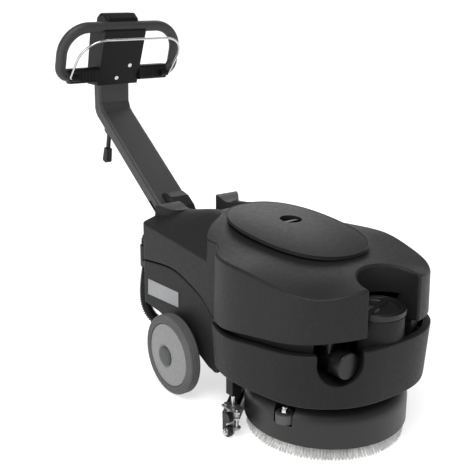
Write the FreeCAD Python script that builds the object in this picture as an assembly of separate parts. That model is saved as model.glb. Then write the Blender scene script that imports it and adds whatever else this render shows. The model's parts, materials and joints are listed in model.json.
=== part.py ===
import FreeCAD, Part
import math
import os

# Walk-behind wet and dry floor scrubber, in millimetres, +Z up, wheels and brush on z = 0.
# -Y is the way it drives, -X its right-hand side. Shapes are drawn round the brush's centre
# and moved back by SHIFT on writing, so the frame's origin is the middle of the plan.

V = FreeCAD.Vector

# ---- driving dimensions ----------------------------------------------------
SHIFT = 394.4
BRUSH_R = 183.0
SKIRT_R = 187.5
SKIRT_LOW = 31.0
BODY_LOW = 140.0
WALL = 4.0
REAR_HALF = 175.0
REAR_Y = 517.0
STEP_Y = 182.0
FLARE = 9.0

WHEEL_R = 101.0
WHEEL_Y = 333.0
WHEEL_OUT = 220.0
WHEEL_IN = 186.0
DISC_R = 80.0
AXLE_R = 8.0

DECK_Z = 236.0
CHANNEL_HALF = 59.0
CHANNEL_FRONT = 330.0
NECK_Y = -144.5
NECK_R = 62.0
NECK_TOP = 318.0
CAP_R = 65.0
CAP_TOP = 333.0

LID_Y = 119.0
LID_Z = 442.0
LID_HALF_W = 122.0
LID_HALF_L = 192.0
LID_TILT = math.tan(math.radians(4.8))
LID_POWER = 2.35

PIVOT_Y = 500.0
PIVOT_Z = 277.0
COL_RISE = math.radians(36.1)
COL_HALF = 50.0
COL_THICK = 40.0
BEND_Y = 949.0
HEAD_HALF = 66.0

LOOP_HALF = 185.0
LOOP_R = 15.0
LOOP_LEAN = math.radians(17.5)
LOOP_Y = 925.0
LOOP_Z = 725.0
LOOP_TOP = 860.0
BAIL_HALF = 164.0
BAIL_Y = 902.0
BAIL_Z = 720.0
BAIL_R = 3.0
BAIL_LONG = 146.0
BAIL_LEAN = math.radians(41.7)

LEVER_X = -20.0
PIPE_X = 105.0
PIPE_Y = 385.0
PIPE_R = 18.0
SPIGOT_X = -140.0
SPIGOT_Z = 340.0
SPIGOT_R = 15.0
HOSE_TOP_Y = 548.0
HOSE_R = 15.0
KNOB_Y = 135.0

SQ_NEAR = 207.0
SQ_BEND = 100.0
SQ_ANGLE = math.radians(41.2)
SQ_END = 87.0
SQ_HALF = 219.0
SQ_TURN_Y = (SQ_NEAR - SQ_BEND) / math.cos(SQ_ANGLE)
NOZZLE_Y = SQ_TURN_Y + SQ_BEND
GUIDE_X = 200.0
GUIDE_Y = 88.0
GUIDE_R = 5.0
RUN_FIT = 0.05

ROLLER_X = 169.0
ROLLER_Y = -55.0
ROLLER_R = 21.0
ROLLER_Z = 75.0
POCKET_R = 24.5
POCKET_Z = 72.0
FILTER_X = -112.0
FILTER_Z = 237.0
FILTER_FACE = -184.0
BAY_X = -127.0
BAY_Y = -174.0
BAY_Z = 242.0
BAY_R = 48.0
BAY_DEEP = 92.0
BATTERY_Z = 140.0

FRONT = [(0, -200), (54, -197), (103, -184), (141, -162), (174, -133), (198, -94),
         (212, -42), (221, 13), (224, 66), (217, 114), (203, 150)]


# ---- small helpers ---------------------------------------------------------
def box(x0, x1, y0, y1, z0, z1):
    return Part.makeBox(x1 - x0, y1 - y0, z1 - z0, V(x0, y0, z0))


def cyl(x, y, z, r, h, axis=(0, 0, 1)):
    return Part.makeCylinder(r, h, V(x, y, z), V(*axis))


def tube(x, y, z, r, bore, h, axis=(0, 0, 1)):
    return cyl(x, y, z, r, h, axis).cut(cyl(x, y, z, bore, h, axis))


def prism_x(points, x0, x1):
    """A (y, z) outline drawn along X."""
    wire = Part.makePolygon([V(x0, y, z) for y, z in points + points[:1]])
    return Part.Face(wire).extrude(V(x1 - x0, 0, 0))


def curve(points, start=None, end=None):
    spline = Part.BSplineCurve()
    if start:
        spline.interpolate(points, InitialTangent=start, FinalTangent=end)
    else:
        spline.interpolate(points)
    return spline.toShape()


def profile_x(points, x0, x1, close):
    """A smooth (y, z) line through points, closed by straight lines through close, drawn along X."""
    top = curve([V(x0, y, z) for y, z in points])
    ends = [V(x0, *points[-1])] + [V(x0, y, z) for y, z in close] + [V(x0, *points[0])]
    wire = Part.Wire([top] + Part.makePolygon(ends).Edges)
    return Part.Face(wire).extrude(V(x1 - x0, 0, 0))


def swept(points, r, bore=0.0, bend=None):
    """A round rod or tube of straight runs joined by tangent arcs."""
    edges = []
    here = points[0]
    for a, b, c in zip(points, points[1:], points[2:]):
        to_b = (b - a).normalize()
        to_c = (c - b).normalize()
        half = to_b.getAngle(to_c) / 2
        cut = bend * math.tan(half)
        start = b - to_b * cut
        end = b + to_c * cut
        middle = (to_c - to_b).normalize()
        crown = b + middle * (bend / math.cos(half) - bend)
        edges.append(Part.makeLine(here, start))
        edges.append(Part.Arc(start, crown, end).toShape())
        here = end
    edges.append(Part.makeLine(here, points[-1]))
    path = Part.Wire(edges)
    direction = points[1] - points[0]
    ring = Part.Wire(Part.makeCircle(r, points[0], direction))
    solid = path.makePipeShell([ring], True, False)
    if bore:
        inner = Part.Wire(Part.makeCircle(bore, points[0], direction))
        solid = solid.cut(path.makePipeShell([inner], True, False))
    return solid


def hex_head(x, y, z, across, h, axis=(0, 0, 1)):
    r = across / math.sqrt(3)
    ring = [V(r * math.cos(k * math.pi / 3), r * math.sin(k * math.pi / 3), 0) for k in range(7)]
    head = Part.Face(Part.makePolygon(ring)).extrude(V(0, 0, h))
    head.Placement = FreeCAD.Placement(V(x, y, z), FreeCAD.Rotation(V(0, 0, 1), V(*axis)))
    return head


def both(shape):
    """A shape and its mirror image on the other side."""
    return [shape, shape.mirror(V(0, 0, 0), V(1, 0, 0))]


def rounded(shape, radius, test):
    edges = [e for e in shape.Edges if test(e)]
    return shape.makeFillet(radius, edges)


def soften(shape, radius, test):
    """Rounds the edges whose box, centre and length pass the test."""
    edges = [e for e in shape.Edges if test(e.BoundBox, e.CenterOfMass, e.Length)]
    return shape.makeFillet(radius, edges)


def along_x(edge):
    a, b = edge.Vertexes[0].Point, edge.Vertexes[-1].Point
    return abs((b - a).normalize().x) > 0.999


def along_z(edge):
    a, b = edge.Vertexes[0].Point, edge.Vertexes[-1].Point
    return len(edge.Vertexes) == 2 and abs((b - a).normalize().z) > 0.999


def write(name, shapes):
    if not isinstance(shapes, list):
        shapes = [shapes]
    solids = [s for shape in shapes for s in shape.Solids]
    whole = solids[0] if len(solids) == 1 else Part.makeCompound(solids)
    whole = whole.copy()
    whole.translate(V(0, -SHIFT, 0))
    whole.exportStep("parts/%s.step" % name)


# ---- the body's plan -------------------------------------------------------
def plan(grow, z, rear=0.0):
    """The body's outline: the wide front bulge, a step in, then the narrow straight rear."""
    half = [(x * (1 + grow / 215.0), y + grow * (y - 30) / 230.0) for x, y in FRONT]
    side = REAR_HALF + rear
    back = REAR_Y + rear
    left = [V(-x, y, z) for x, y in reversed(half)]
    right = [V(x, y, z) for x, y in half[1:]]
    bulge = curve(left + right)
    waist = STEP_Y + 8.0
    r = 14.0
    tip = half[-1]
    corner = r * (1 - math.sqrt(0.5))
    pieces = [
        bulge,
        curve([V(tip[0], tip[1], z), V(side + 8, STEP_Y - 8, z), V(side, waist, z)]),
        Part.makeLine(V(side, waist, z), V(side, back - r, z)),
        Part.Arc(V(side, back - r, z), V(side - corner, back - corner, z), V(side - r, back, z)).toShape(),
        Part.makeLine(V(side - r, back, z), V(r - side, back, z)),
        Part.Arc(V(r - side, back, z), V(corner - side, back - corner, z), V(-side, back - r, z)).toShape(),
        Part.makeLine(V(-side, back - r, z), V(-side, waist, z)),
        curve([V(-side, waist, z), V(-side - 8, STEP_Y - 8, z), V(-tip[0], tip[1], z)]),
    ]
    return Part.Wire(pieces)


def walls(low, high, inset, flare_low, flare_high):
    """The plan drawn up from low to high, leaning out a little at the front."""
    bottom = plan(flare_low - inset, low, -inset)
    top = plan(flare_high - inset, high, -inset)
    return Part.makeLoft([bottom, top], True, True)


RIM = [(-230, 270), (-193, 268), (-150, 263), (-60, 257), (10, 252), (90, 245), (169, 240), (190, 231),
       (234, 256), (296, 285), (361, 302.5), (430, 301.5), (527, 290), (560, 286)]
SEAM = [(-230, 297), (-193, 294), (-150, 286), (-60, 275), (37, 264), (100, 255), (169, 244), (190, 235),
        (234, 260), (296, 289), (361, 306.5), (430, 305.5), (527, 294), (560, 290)]
SKIRT_LINE = [(-260, BODY_LOW), (160, BODY_LOW), (171, 122), (180, 101), (194, 95), (222, 101),
              (254, 116), (300, 134), (350, 152), (435, 172), (503, 179), (560, 182)]


def lowered(points, drop):
    return [(y, z - drop) for y, z in points]


def chassis_solid(inset):
    shape = walls(90.0, 320.0, inset, 0.0, FLARE + 6.0)
    over = profile_x(lowered(RIM, inset), -260, 260, [(560, 500), (-230, 500)])
    under = prism_x(lowered(SKIRT_LINE, -inset) + [(560, 40), (-260, 40)], -260, 260)
    shape = shape.cut(over).cut(under)
    deck_room = cyl(0, 0, 60, SKIRT_R + 5 + inset, BODY_LOW - 60 + inset)
    nozzle_room = box(-110 - inset, 110 + inset, 120, 330 + inset, 60, 128 + inset)
    return shape.cut(deck_room).cut(nozzle_room)


# ---- lower body: solution tank and chassis ---------------------------------
def motor_well(grow):
    return cyl(0, 0, 90, 66 + grow, 142 + grow)


def filter_bay(grow):
    """The U-shaped opening in the front right of the rim that the filter sits in."""
    r = BAY_R + grow
    u_shape = cyl(BAY_X, BAY_Y + 120, BAY_Z, r, 200, (0, -1, 0))
    sides = [(BAY_Y - 80, BAY_Z), (BAY_Y + 120, BAY_Z), (BAY_Y + 120, 330), (BAY_Y - 80, 330)]
    u_shape = u_shape.fuse(prism_x(sides, BAY_X - r, BAY_X + r))
    turn = FreeCAD.Rotation(V(0, 0, 1), -30)
    u_shape.Placement = FreeCAD.Placement(V(0, 0, 0), turn, V(BAY_X, BAY_Y, 0))
    return u_shape.common(cyl(BAY_X, BAY_Y, 100, BAY_DEEP + grow, 260))


def battery_ribs():
    ribs = [box(x - 2, x + 2, 196, 302, 90, BATTERY_Z) for x in (-150, -80, -8, 8, 80, 150)]
    return ribs[0].multiFuse(ribs[1:])


def bay_space():
    """The open room behind the water: batteries in front, suction motor and column behind."""
    inside = walls(90.0, 330.0, WALL, 0.0, FLARE + 6.0)
    floor = prism_x(lowered(SKIRT_LINE, -WALL) + [(560, 40), (-260, 40)], -260, 260)
    nozzle_room = box(-110 - WALL, 110 + WALL, 120, 330 + WALL, 60, 128 + WALL)
    deck_room = cyl(0, 0, 60, SKIRT_R + 5 + WALL, BODY_LOW - 60 + WALL)
    inside = inside.cut(floor).cut(nozzle_room).cut(deck_room)
    return inside.common(box(-260, 260, 188, 600, 60, 330))


def lower_body():
    shell = chassis_solid(0.0)
    water = chassis_solid(WALL).common(box(-260, 260, -260, 176, 60, DECK_Z - WALL))
    water = water.cut(motor_well(WALL)).cut(filter_bay(WALL))
    inside = bay_space()
    bay = inside.cut(battery_ribs())
    recess = walls(90.0, 320.0, 16.0, 0.0, FLARE + 6.0).common(box(-260, 260, -260, 172, DECK_Z, 330))
    shell = shell.cut(water).cut(bay).cut(recess)
    neck = cyl(0, NECK_Y, DECK_Z - 10, NECK_R, NECK_TOP - DECK_Z + 10)
    shell = shell.fuse(neck).cut(cyl(0, NECK_Y, DECK_Z - 20, NECK_R - 6, 200))
    shell = shell.cut(motor_well(0.0))
    shell = shell.cut(filter_bay(0.0))
    shell = shell.cut(box(-57, 57, 490, 540, 250, 330))
    return soften_body(shell.Solids[0].removeSplitter())


def soften_body(shape):
    """Rounds the rim, the filter's opening, the neck's mouth and the lower edge."""
    def bay_edge(b, c, length):
        return b.ZMin > 190 and b.ZMax < 243 and b.YMax < -150 and b.XMax < -85 and 70 < length < 80

    def rim_right(b, c, length):
        return b.ZMin > 244 and b.ZMax < 270 and b.XMax - b.XMin > 60 and b.XMin < -234 and b.YMax < 156

    def rim_front(b, c, length):
        return b.ZMin > 244 and b.ZMax < 270 and b.XMax > 234 and b.YMin < -205 and b.YMax < 156

    def rim_rear(b, c, length):
        flat = b.XMax - b.XMin < 1 and abs(abs(c.x) - REAR_HALF) < 1
        return b.ZMin > 229 and b.ZMax < 306 and flat and length > 300

    def neck_mouth(b, c, length):
        return abs(c.z - NECK_TOP) < 1 and b.ZMin > NECK_TOP - 1 and length > 150 and b.YMin < NECK_Y - 60

    def low_edge(b, c, length):
        return abs(b.ZMin - BODY_LOW) < 1 and b.ZMax < BODY_LOW + 1 and length > 900

    rounds = [(3.0, bay_edge), (3.0, rim_right), (3.0, rim_front), (3.0, rim_rear),
              (2.0, neck_mouth), (5.0, low_edge)]
    for radius, test in rounds:
        shape = soften(shape, radius, test)
    return shape


# ---- recovery tank ---------------------------------------------------------
def lid_plane(y):
    return LID_Z + (y - LID_Y) * LID_TILT


def half_width(y):
    for (x0, y0), (x1, y1) in zip(FRONT, FRONT[1:]):
        if y0 <= y <= y1:
            return x0 + (x1 - x0) * (y - y0) / (y1 - y0)
    return 203.0 if y > 0 else 60.0


def edge_height(y):
    table = [(-240, 370), (-190, 376), (-153, 381), (-111, 387), (-50, 396), (30, 410),
             (125, 410), (400, 408)]
    for (a, za), (b, zb) in zip(table, table[1:]):
        if a <= y <= b:
            return za + (zb - za) * (y - a) / (b - a)
    return 408.0


def dome_height(x, y):
    wide = max(half_width(y), 150.0)
    return lid_plane(y) - 9 - (lid_plane(y) - 9 - edge_height(y)) * min(abs(x) / wide, 1.15) ** 2.2


def rear_height(x, y):
    outer = 360 + (y - 193) * 0.105
    inner = min(lid_plane(y) - 10, 460 - (y - 300) * 0.24)
    if y > 470:
        inner = 419.2 + (y - 470) * 0.1
    s = min(max((REAR_HALF - abs(x)) / (REAR_HALF - 75.0), -0.2), 1.0)
    return outer + (inner - outer) * s


def above(height, xs, ys, drop):
    """Everything above a smooth surface whose control points stand at height(x, y)."""
    poles = [[V(x, y, height(x, y) - drop) for y in ys] for x in xs]
    inner_u = len(xs) - 4
    inner_v = len(ys) - 4
    surface = Part.BSplineSurface()
    surface.buildFromPolesMultsKnots(
        poles, [4] + [1] * inner_u + [4], [4] + [1] * inner_v + [4],
        list(range(inner_u + 2)), list(range(inner_v + 2)), False, False, 3, 3)
    return surface.toShape().extrude(V(0, 0, 300))


def spread(low, high, count):
    return [low + (high - low) * k / (count - 1) for k in range(count)]


DOME_X = spread(-260, 260, 15)
DOME_Y = spread(-270, 370, 17)
REAR_X = spread(-245, 245, 15)
REAR_LINE = spread(120, 620, 15)


def helmet_plan(inset):
    """The front dome's plan: wide at the front, an oval end behind the lid."""
    end = [(203 - inset, 150), (192 - inset, 190), (165 - inset, 238 - inset / 2),
           (120 - inset / 2, 280 - inset),
           (62, 308 - inset), (0, 317 - inset)]
    right = [V(x, y, 200) for x, y in end]
    left = [V(-x, y, 200) for x, y in reversed(end[:-1])]
    front = [V(-203 + inset, 150, 200), V(-260, 150, 200), V(-260, -260, 200), V(260, -260, 200),
             V(260, 150, 200), V(203 - inset, 150, 200)]
    wire = Part.Wire([curve(right + left)] + Part.makePolygon(front).Edges)
    return Part.Face(wire).extrude(V(0, 0, 400))


def notch(grow):
    """The cut in the front that leaves the filler neck free; its back wall leans forward."""
    r = 74.0 + grow
    arc = Part.Arc(V(r, NECK_Y, 220), V(0, NECK_Y + r, 220), V(-r, NECK_Y, 220)).toShape()
    sides = Part.makePolygon([V(-r, NECK_Y, 220), V(-r, -330, 220), V(r, -330, 220), V(r, NECK_Y, 220)])
    return Part.Face(Part.Wire([arc] + sides.Edges)).extrude(V(0, -58, 240))


def channel(grow):
    """The slot in the tank's rear that the column stands and folds in."""
    half = CHANNEL_HALF + grow
    return box(-half, half, CHANNEL_FRONT - grow, 620, 200, 500)


def tank_solid(inset):
    shape = walls(200.0, 500.0, inset, 7.0, 1.0)
    under = profile_x(lowered(SEAM, -inset), -260, 260, [(560, 100), (-230, 100)])
    shape = shape.cut(under)
    front = shape.common(helmet_plan(inset)).cut(above(dome_height, DOME_X, DOME_Y, inset))
    back = shape.common(box(-260, 260, 160, 620, 150, 520)).cut(above(rear_height, REAR_X, REAR_LINE, inset))
    whole = front.fuse(back)
    return whole.cut(notch(inset)).cut(channel(inset))


def cheek(inset):
    """The raised block at the tank's rear corner, on the right side of the column."""
    foot = [(-142, 530), (-127, 492), (-108, 470), (-84, 460), (-56, 457)]
    crown = [(-133, 530), (-119, 496), (-102, 477), (-82, 468), (-56, 465)]
    sections = []
    for line, z in ((foot, 350), (crown, 450)):
        (x0, y0), (x1, y1) = line[0], line[-1]
        front = curve([V(x, y, z) for x, y in line])
        back = Part.makePolygon([V(x1, y1, z), V(-40, y1, z), V(-40, 540, z), V(x0, 540, z), V(x0, y0, z)])
        face = Part.Face(Part.Wire([front] + back.Edges))
        sections.append(face.makeOffset2D(-inset).OuterWire if inset else face.OuterWire)
    block = Part.makeLoft(sections, True, True)
    top = [(440, 436), (460, 422), (480, 424), (500, 430), (520, 431), (545, 429)]
    block = block.cut(profile_x(lowered(top, inset), -200, 0, [(545, 600), (440, 600)]))
    block = block.common(walls(200.0, 500.0, inset, 7.0, 1.0)).cut(channel(inset))
    return block.common(box(-200, 0, 440, 560, 395 - inset, 500))


def tank_outside():
    """The tank's outer form with its edges rounded as a moulding's are."""
    shape = tank_solid(0.0).multiFuse(both(cheek(0.0))).removeSplitter().Solids[0]

    def rear_top(b, c, length):
        outer = abs(c.x) > 172 or b.YMin > 502
        return b.ZMin > 364 and b.YMin > 220 and b.ZMax < 412 and outer and length > 8 and abs(c.x) > 135

    def front_top(b, c, length):
        return b.ZMin > 379 and b.YMax < 151 and b.YMin < -190 and length > 300

    def arch(b, c, length):
        return b.ZMin > 390 and abs(c.x) < 75.5 and b.YMax < -110 and length > 5 and b.YMax - b.YMin > 5

    def front_low(b, c, length):
        return b.ZMax < 310 and b.YMax < 152 and b.YMin < -180 and length > 300

    def crease(b, c, length):
        return b.ZMax - b.ZMin > 60 and b.YMin > 220 and b.YMax < 310 and abs(c.x) > 70

    def dome_back(b, c, length):
        return b.ZMin > 400 and b.YMin > 140 and b.YMax < 310 and abs(c.x) > 150 and length > 20

    def right_post(b, c, length):
        return b.YMin > 505 and abs(c.x + CHANNEL_HALF) < 1 and b.ZMax - b.ZMin > 90

    def left_post(b, c, length):
        return b.YMin > 505 and abs(c.x - CHANNEL_HALF) < 1 and b.ZMax - b.ZMin > 90

    rounds = [(6.0, rear_top), (7.0, front_top), (5.0, arch), (2.5, front_low),
              (8.0, crease), (4.0, dome_back), (4.0, right_post), (4.0, left_post)]
    for radius, test in rounds:
        shape = soften(shape, radius, test)
    return shape


def superellipse(half_w, half_l, z, count=28):
    points = []
    for k in range(count):
        a = 2 * math.pi * k / count
        c, s = math.cos(a), math.sin(a)
        x = half_w * math.copysign(abs(c) ** (2 / LID_POWER), c)
        y = half_l * math.copysign(abs(s) ** (2 / LID_POWER), s)
        points.append(V(x, LID_Y + y, z))
    spline = Part.BSplineCurve()
    spline.interpolate(points, True)
    return Part.Face(Part.Wire([spline.toShape()]))


def oval(half_w, half_l, low, high):
    return superellipse(half_w, half_l, low).extrude(V(0, 0, high - low))


def plinth(inset):
    """The part of the tank that reaches down into the lower body's recess."""
    shape = walls(90.0, 320.0, 26.0 + inset, 0.0, FLARE + 6.0)
    shape = shape.common(box(-260, 260, -260, 160 - inset, DECK_Z + 0.4 + inset, 300))
    return shape.cut(notch(inset + 2)).cut(filter_bay(3.0 + inset))


def tank():
    outer = tank_outside().fuse(plinth(0.0))
    inner = tank_solid(WALL).fuse(plinth(WALL)).multiFuse(both(cheek(WALL)))
    shell = outer.cut(inner)
    shell = shell.cut(oval(LID_HALF_W - 16, LID_HALF_L - 16, 380, 500))
    shell = shell.cut(cyl(0, NECK_Y, 200, CAP_R + 6, 145))
    shell = shell.cut(cyl(PIPE_X, PIPE_Y, 290, PIPE_R, 40))
    return shell.cut(cyl(SPIGOT_X, REAR_Y - 12, SPIGOT_Z, SPIGOT_R, 30, (0, 1, 0)))


def float_cage():
    """Suction standpipe with a slotted cage on top that a ball floats up in to shut it."""
    pipe = tube(PIPE_X, PIPE_Y, 302, PIPE_R, PIPE_R - 2.5, 45)
    collar = tube(PIPE_X, PIPE_Y, 347, 24, 9, 3)
    cage = tube(PIPE_X, PIPE_Y, 350, 24, 21.5, 40)
    top = tube(PIPE_X, PIPE_Y, 390, 24, 9, 3)
    shape = pipe.multiFuse([collar, cage, top])
    for k in range(4):
        turn = k * 90 + 45
        slot = box(-4, 4, 18, 30, 355, 385)
        slot.Placement = FreeCAD.Placement(V(PIPE_X, PIPE_Y, 0), FreeCAD.Rotation(V(0, 0, 1), turn))
        shape = shape.cut(slot)
    return shape


def float_ball():
    return Part.makeSphere(15, V(PIPE_X, PIPE_Y, 366))


def spigot():
    """Elbow on the tank's back wall, pointing down into the suction hose's cuff."""
    path = [V(SPIGOT_X, REAR_Y - 10, SPIGOT_Z), V(SPIGOT_X, HOSE_TOP_Y, SPIGOT_Z),
            V(SPIGOT_X, HOSE_TOP_Y, 282)]
    elbow = swept(path, SPIGOT_R, SPIGOT_R - 2.5, 22)
    return elbow.fuse(tube(SPIGOT_X, REAR_Y, SPIGOT_Z, 22, SPIGOT_R - 2.5, 3, (0, 1, 0)))


# ---- lid and filler cap ----------------------------------------------------
def lid_top(x, y):
    r = ((abs(x) / LID_HALF_W) ** LID_POWER + (abs(y - LID_Y) / LID_HALF_L) ** LID_POWER) ** (1 / LID_POWER)
    return lid_plane(y) + 16 - 15 * min(r, 1.3) ** 2.4


def lid_under(x, y):
    return lid_plane(y) - 7.0


def lid():
    blank = oval(LID_HALF_W, LID_HALF_L, 390, 520)
    grid_x = spread(-170, 170, 13)
    grid_y = spread(LID_Y - 240, LID_Y + 240, 15)
    flat_x = [-200, -70, 70, 200]
    flat_y = [LID_Y - 260, LID_Y - 90, LID_Y + 90, LID_Y + 260]
    shell = blank.cut(above(lid_top, grid_x, grid_y, 0.0)).common(above(lid_under, flat_x, flat_y, 0.0))
    inner = oval(LID_HALF_W - 4, LID_HALF_L - 4, 390, 520).cut(above(lid_top, grid_x, grid_y, 4.0))
    inner = inner.common(above(lid_under, flat_x, flat_y, 0.1))
    plug = oval(LID_HALF_W - 17, LID_HALF_L - 17, 404, 470)
    plug = plug.cut(oval(LID_HALF_W - 21, LID_HALF_L - 21, 400, 480))
    shell = shell.cut(inner).fuse(plug.cut(above(lid_top, grid_x, grid_y, 2.0)))
    post = cyl(0, KNOB_Y, lid_plane(KNOB_Y) - 6, 30, 34).cut(above(lid_top, grid_x, grid_y, 2.0))
    return shell.fuse(post).cut(cyl(0, KNOB_Y, lid_plane(KNOB_Y) - 2, 26, 40))


def lid_knob():
    """Sunk turning knob with finger ribs round its edge."""
    z = lid_plane(KNOB_Y) - 1.8
    knob = cyl(0, KNOB_Y, z, 25, 9)
    for k in range(10):
        a = 2 * math.pi * k / 10
        knob = knob.cut(cyl(25 * math.cos(a), KNOB_Y + 25 * math.sin(a), z + 2, 4.5, 10))
    return knob.fuse(box(-21, 21, KNOB_Y - 4, KNOB_Y + 4, z + 8, z + 13))


def filler_cap():
    """Deep round cap: a rim ring, a sunk floor and a grip bar across it."""
    skirt = tube(0, NECK_Y, CAP_TOP - 24, CAP_R, NECK_R + 0.5, 24)
    ring = tube(0, NECK_Y, CAP_TOP - 6, CAP_R, CAP_R - 8, 6)
    floor = cyl(0, NECK_Y, CAP_TOP - 14.5, CAP_R - 1, 4)
    bar = box(-CAP_R + 4, CAP_R - 4, NECK_Y - 5, NECK_Y + 5, CAP_TOP - 12, CAP_TOP - 1)
    shape = skirt.multiFuse([ring, floor, bar])
    return shape.common(cyl(0, NECK_Y, CAP_TOP - 30, CAP_R, 40))


# ---- battery bay, suction motor, cover -------------------------------------
def batteries():
    shapes = []
    for x in (-155.0, 4.0):
        case = box(x, x + 151, 200, 298, BATTERY_Z, BATTERY_Z + 95)
        shapes.append(rounded(case, 4, along_z))
    return shapes


def vacuum_motor():
    """Suction motor housing: fan chamber below, motor can above, intake on top."""
    can = cyl(PIPE_X, PIPE_Y, 232, 48, 50)
    chamber = cyl(PIPE_X, PIPE_Y, 190, 62, 42)
    intake = cyl(PIPE_X, PIPE_Y, 282, 22, 18)
    shape = can.multiFuse([chamber, intake])
    shape = shape.cut(cyl(PIPE_X, PIPE_Y, 194, 57, 30))
    shape = shape.cut(cyl(PIPE_X, PIPE_Y, 222, 15, 90))
    exhaust = box(PIPE_X - 30, PIPE_X + 30, PIPE_Y - 80, PIPE_Y - 30, 196, 220)
    return shape.cut(exhaust)


def suction_fan():
    disc = cyl(PIPE_X, PIPE_Y, 198, 52, 2)
    hub = cyl(PIPE_X, PIPE_Y, 196, 12, 22)
    shape = disc.fuse(hub)
    for k in range(8):
        blade = box(10, 50, -1.2, 1.2, 200, 214)
        blade.Placement = FreeCAD.Placement(V(PIPE_X, PIPE_Y, 0), FreeCAD.Rotation(V(0, 0, 1), k * 45 + 10))
        shape = shape.fuse(blade)
    return shape


def bay_cover():
    """Cover over the bay where the tank leaves it open, standing on its own two end walls."""
    top = box(-57.5, 57.5, 306, 452, 289, 292)
    front = box(-57.5, 57.5, 306, 309, 100, 289)
    back = box(-57.5, 57.5, 434, 437, 100, 289)
    return top.multiFuse([front, back]).common(bay_space())


# ---- brush deck ------------------------------------------------------------
def revolve(points, axis_point=V(0, 0, 0), axis=V(0, 0, 1)):
    wire = Part.makePolygon(points + points[:1])
    return Part.Face(wire).revolve(axis_point, axis, 360)


def deck_envelope():
    shoulder = Part.Arc(V(SKIRT_R, 0, 84), V(SKIRT_R - 7, 0, 104), V(SKIRT_R - 25, 0, 116)).toShape()
    rest = Part.makePolygon([V(SKIRT_R - 25, 0, 116), V(0, 0, 116), V(0, 0, 60), V(SKIRT_R, 0, 60),
                             V(SKIRT_R, 0, 84)])
    face = Part.Face(Part.Wire([shoulder] + rest.Edges))
    return face.revolve(V(0, 0, 0), V(0, 0, 1), 360)


def deck_cover():
    """Round splash skirt with a rolled shoulder, a flat top and two roller pockets."""
    arc_out = Part.Arc(V(SKIRT_R, 0, 84), V(SKIRT_R - 7, 0, 104), V(SKIRT_R - 25, 0, 116)).toShape()
    arc_in = Part.Arc(V(SKIRT_R - 28, 0, 112), V(SKIRT_R - 11, 0, 101), V(SKIRT_R - 4, 0, 84)).toShape()
    outer = Part.makePolygon([V(SKIRT_R - 4, 0, 84), V(SKIRT_R - 4, 0, SKIRT_LOW), V(SKIRT_R, 0, SKIRT_LOW),
                              V(SKIRT_R, 0, 84)])
    inner = Part.makePolygon([V(SKIRT_R - 25, 0, 116), V(61, 0, 116), V(61, 0, 112), V(SKIRT_R - 28, 0, 112)])
    wire = Part.Wire(outer.Edges + [arc_out] + inner.Edges + [arc_in])
    shape = Part.Face(wire).revolve(V(0, 0, 0), V(0, 0, 1), 360)
    envelope = deck_envelope()
    for x in (-ROLLER_X, ROLLER_X):
        housing = cyl(x, ROLLER_Y, POCKET_Z - 4, POCKET_R + 3.5, 60)
        shape = shape.fuse(housing.common(envelope))
    for x in (-ROLLER_X, ROLLER_X):
        shape = shape.cut(cyl(x, ROLLER_Y, POCKET_Z, POCKET_R, 60))
        shape = shape.cut(cyl(x, ROLLER_Y, 60, 5, 20))
    for k in range(4):
        a = math.radians(45 + 90 * k)
        shape = shape.fuse(cyl(118 * math.cos(a), 118 * math.sin(a), 114, 9, BODY_LOW - 114))
    return shape


def roller(x):
    wheel = tube(x, ROLLER_Y, ROLLER_Z, ROLLER_R, 5.05, 23)
    return rounded(wheel, 3, lambda e: len(e.Vertexes) == 1 and e.Curve.Radius > 20)


def roller_bolts():
    shapes = []
    for x in (-ROLLER_X, ROLLER_X):
        stud = cyl(x, ROLLER_Y, POCKET_Z - 4, 5, 34)
        collar = cyl(x, ROLLER_Y, POCKET_Z, 9, 2)
        washer = cyl(x, ROLLER_Y, 99, 12, 2)
        nut = hex_head(x, ROLLER_Y, 101, 15, 6)
        dome = Part.makeSphere(6.5, V(x, ROLLER_Y, 107), V(0, 0, 1), 0, 90, 360)
        shapes.append(stud.multiFuse([collar, washer, nut, dome]))
    return shapes


def brush_motor():
    can = cyl(0, 0, 124, 54, 98)
    return can.fuse(cyl(0, 0, 222, 24, 8)).fuse(cyl(0, 0, 121.5, 58, 6))


def gearbox():
    body = cyl(0, 0, 84, 60, 34)
    flange = tube(0, 0, 116, 78, 40, 5.5)
    shape = body.fuse(flange).cut(cyl(0, 0, 80, 10.05, 60))
    for k in range(4):
        a = math.radians(45 + 90 * k)
        shape = shape.fuse(hex_head(69 * math.cos(a), 69 * math.sin(a), 121.5, 10, 5))
    return shape


def drive_hub():
    """Output shaft and dog plate that the brush hangs on."""
    shaft = cyl(0, 0, 60, 10, 50)
    plate = cyl(0, 0, 60, 44, 10)
    shape = shaft.fuse(plate)
    for k in range(3):
        a = math.radians(90 + 120 * k)
        shape = shape.fuse(cyl(32 * math.cos(a), 32 * math.sin(a), 46, 6, 15))
    return shape


def brush_plate():
    plate = cyl(0, 0, 38, 160, 20)
    plate = plate.cut(cyl(0, 0, 44, 150, 20)).fuse(cyl(0, 0, 38, 58, 21.9))
    plate = plate.cut(cyl(0, 0, 30, 22, 40))
    for k in range(3):
        a = math.radians(90 + 120 * k)
        plate = plate.cut(cyl(32 * math.cos(a), 32 * math.sin(a), 42, 7, 40))
    for k in range(6):
        a = 60 * k
        rib = box(56, 152, -2, 2, 42, 54)
        rib.Placement = FreeCAD.Placement(V(0, 0, 0), FreeCAD.Rotation(V(0, 0, 1), a))
        plate = plate.fuse(rib)
    return plate


def bristles():
    return revolve([V(70, 0, 0), V(BRUSH_R, 0, 0), V(160, 0, 38), V(78, 0, 38)])


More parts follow.
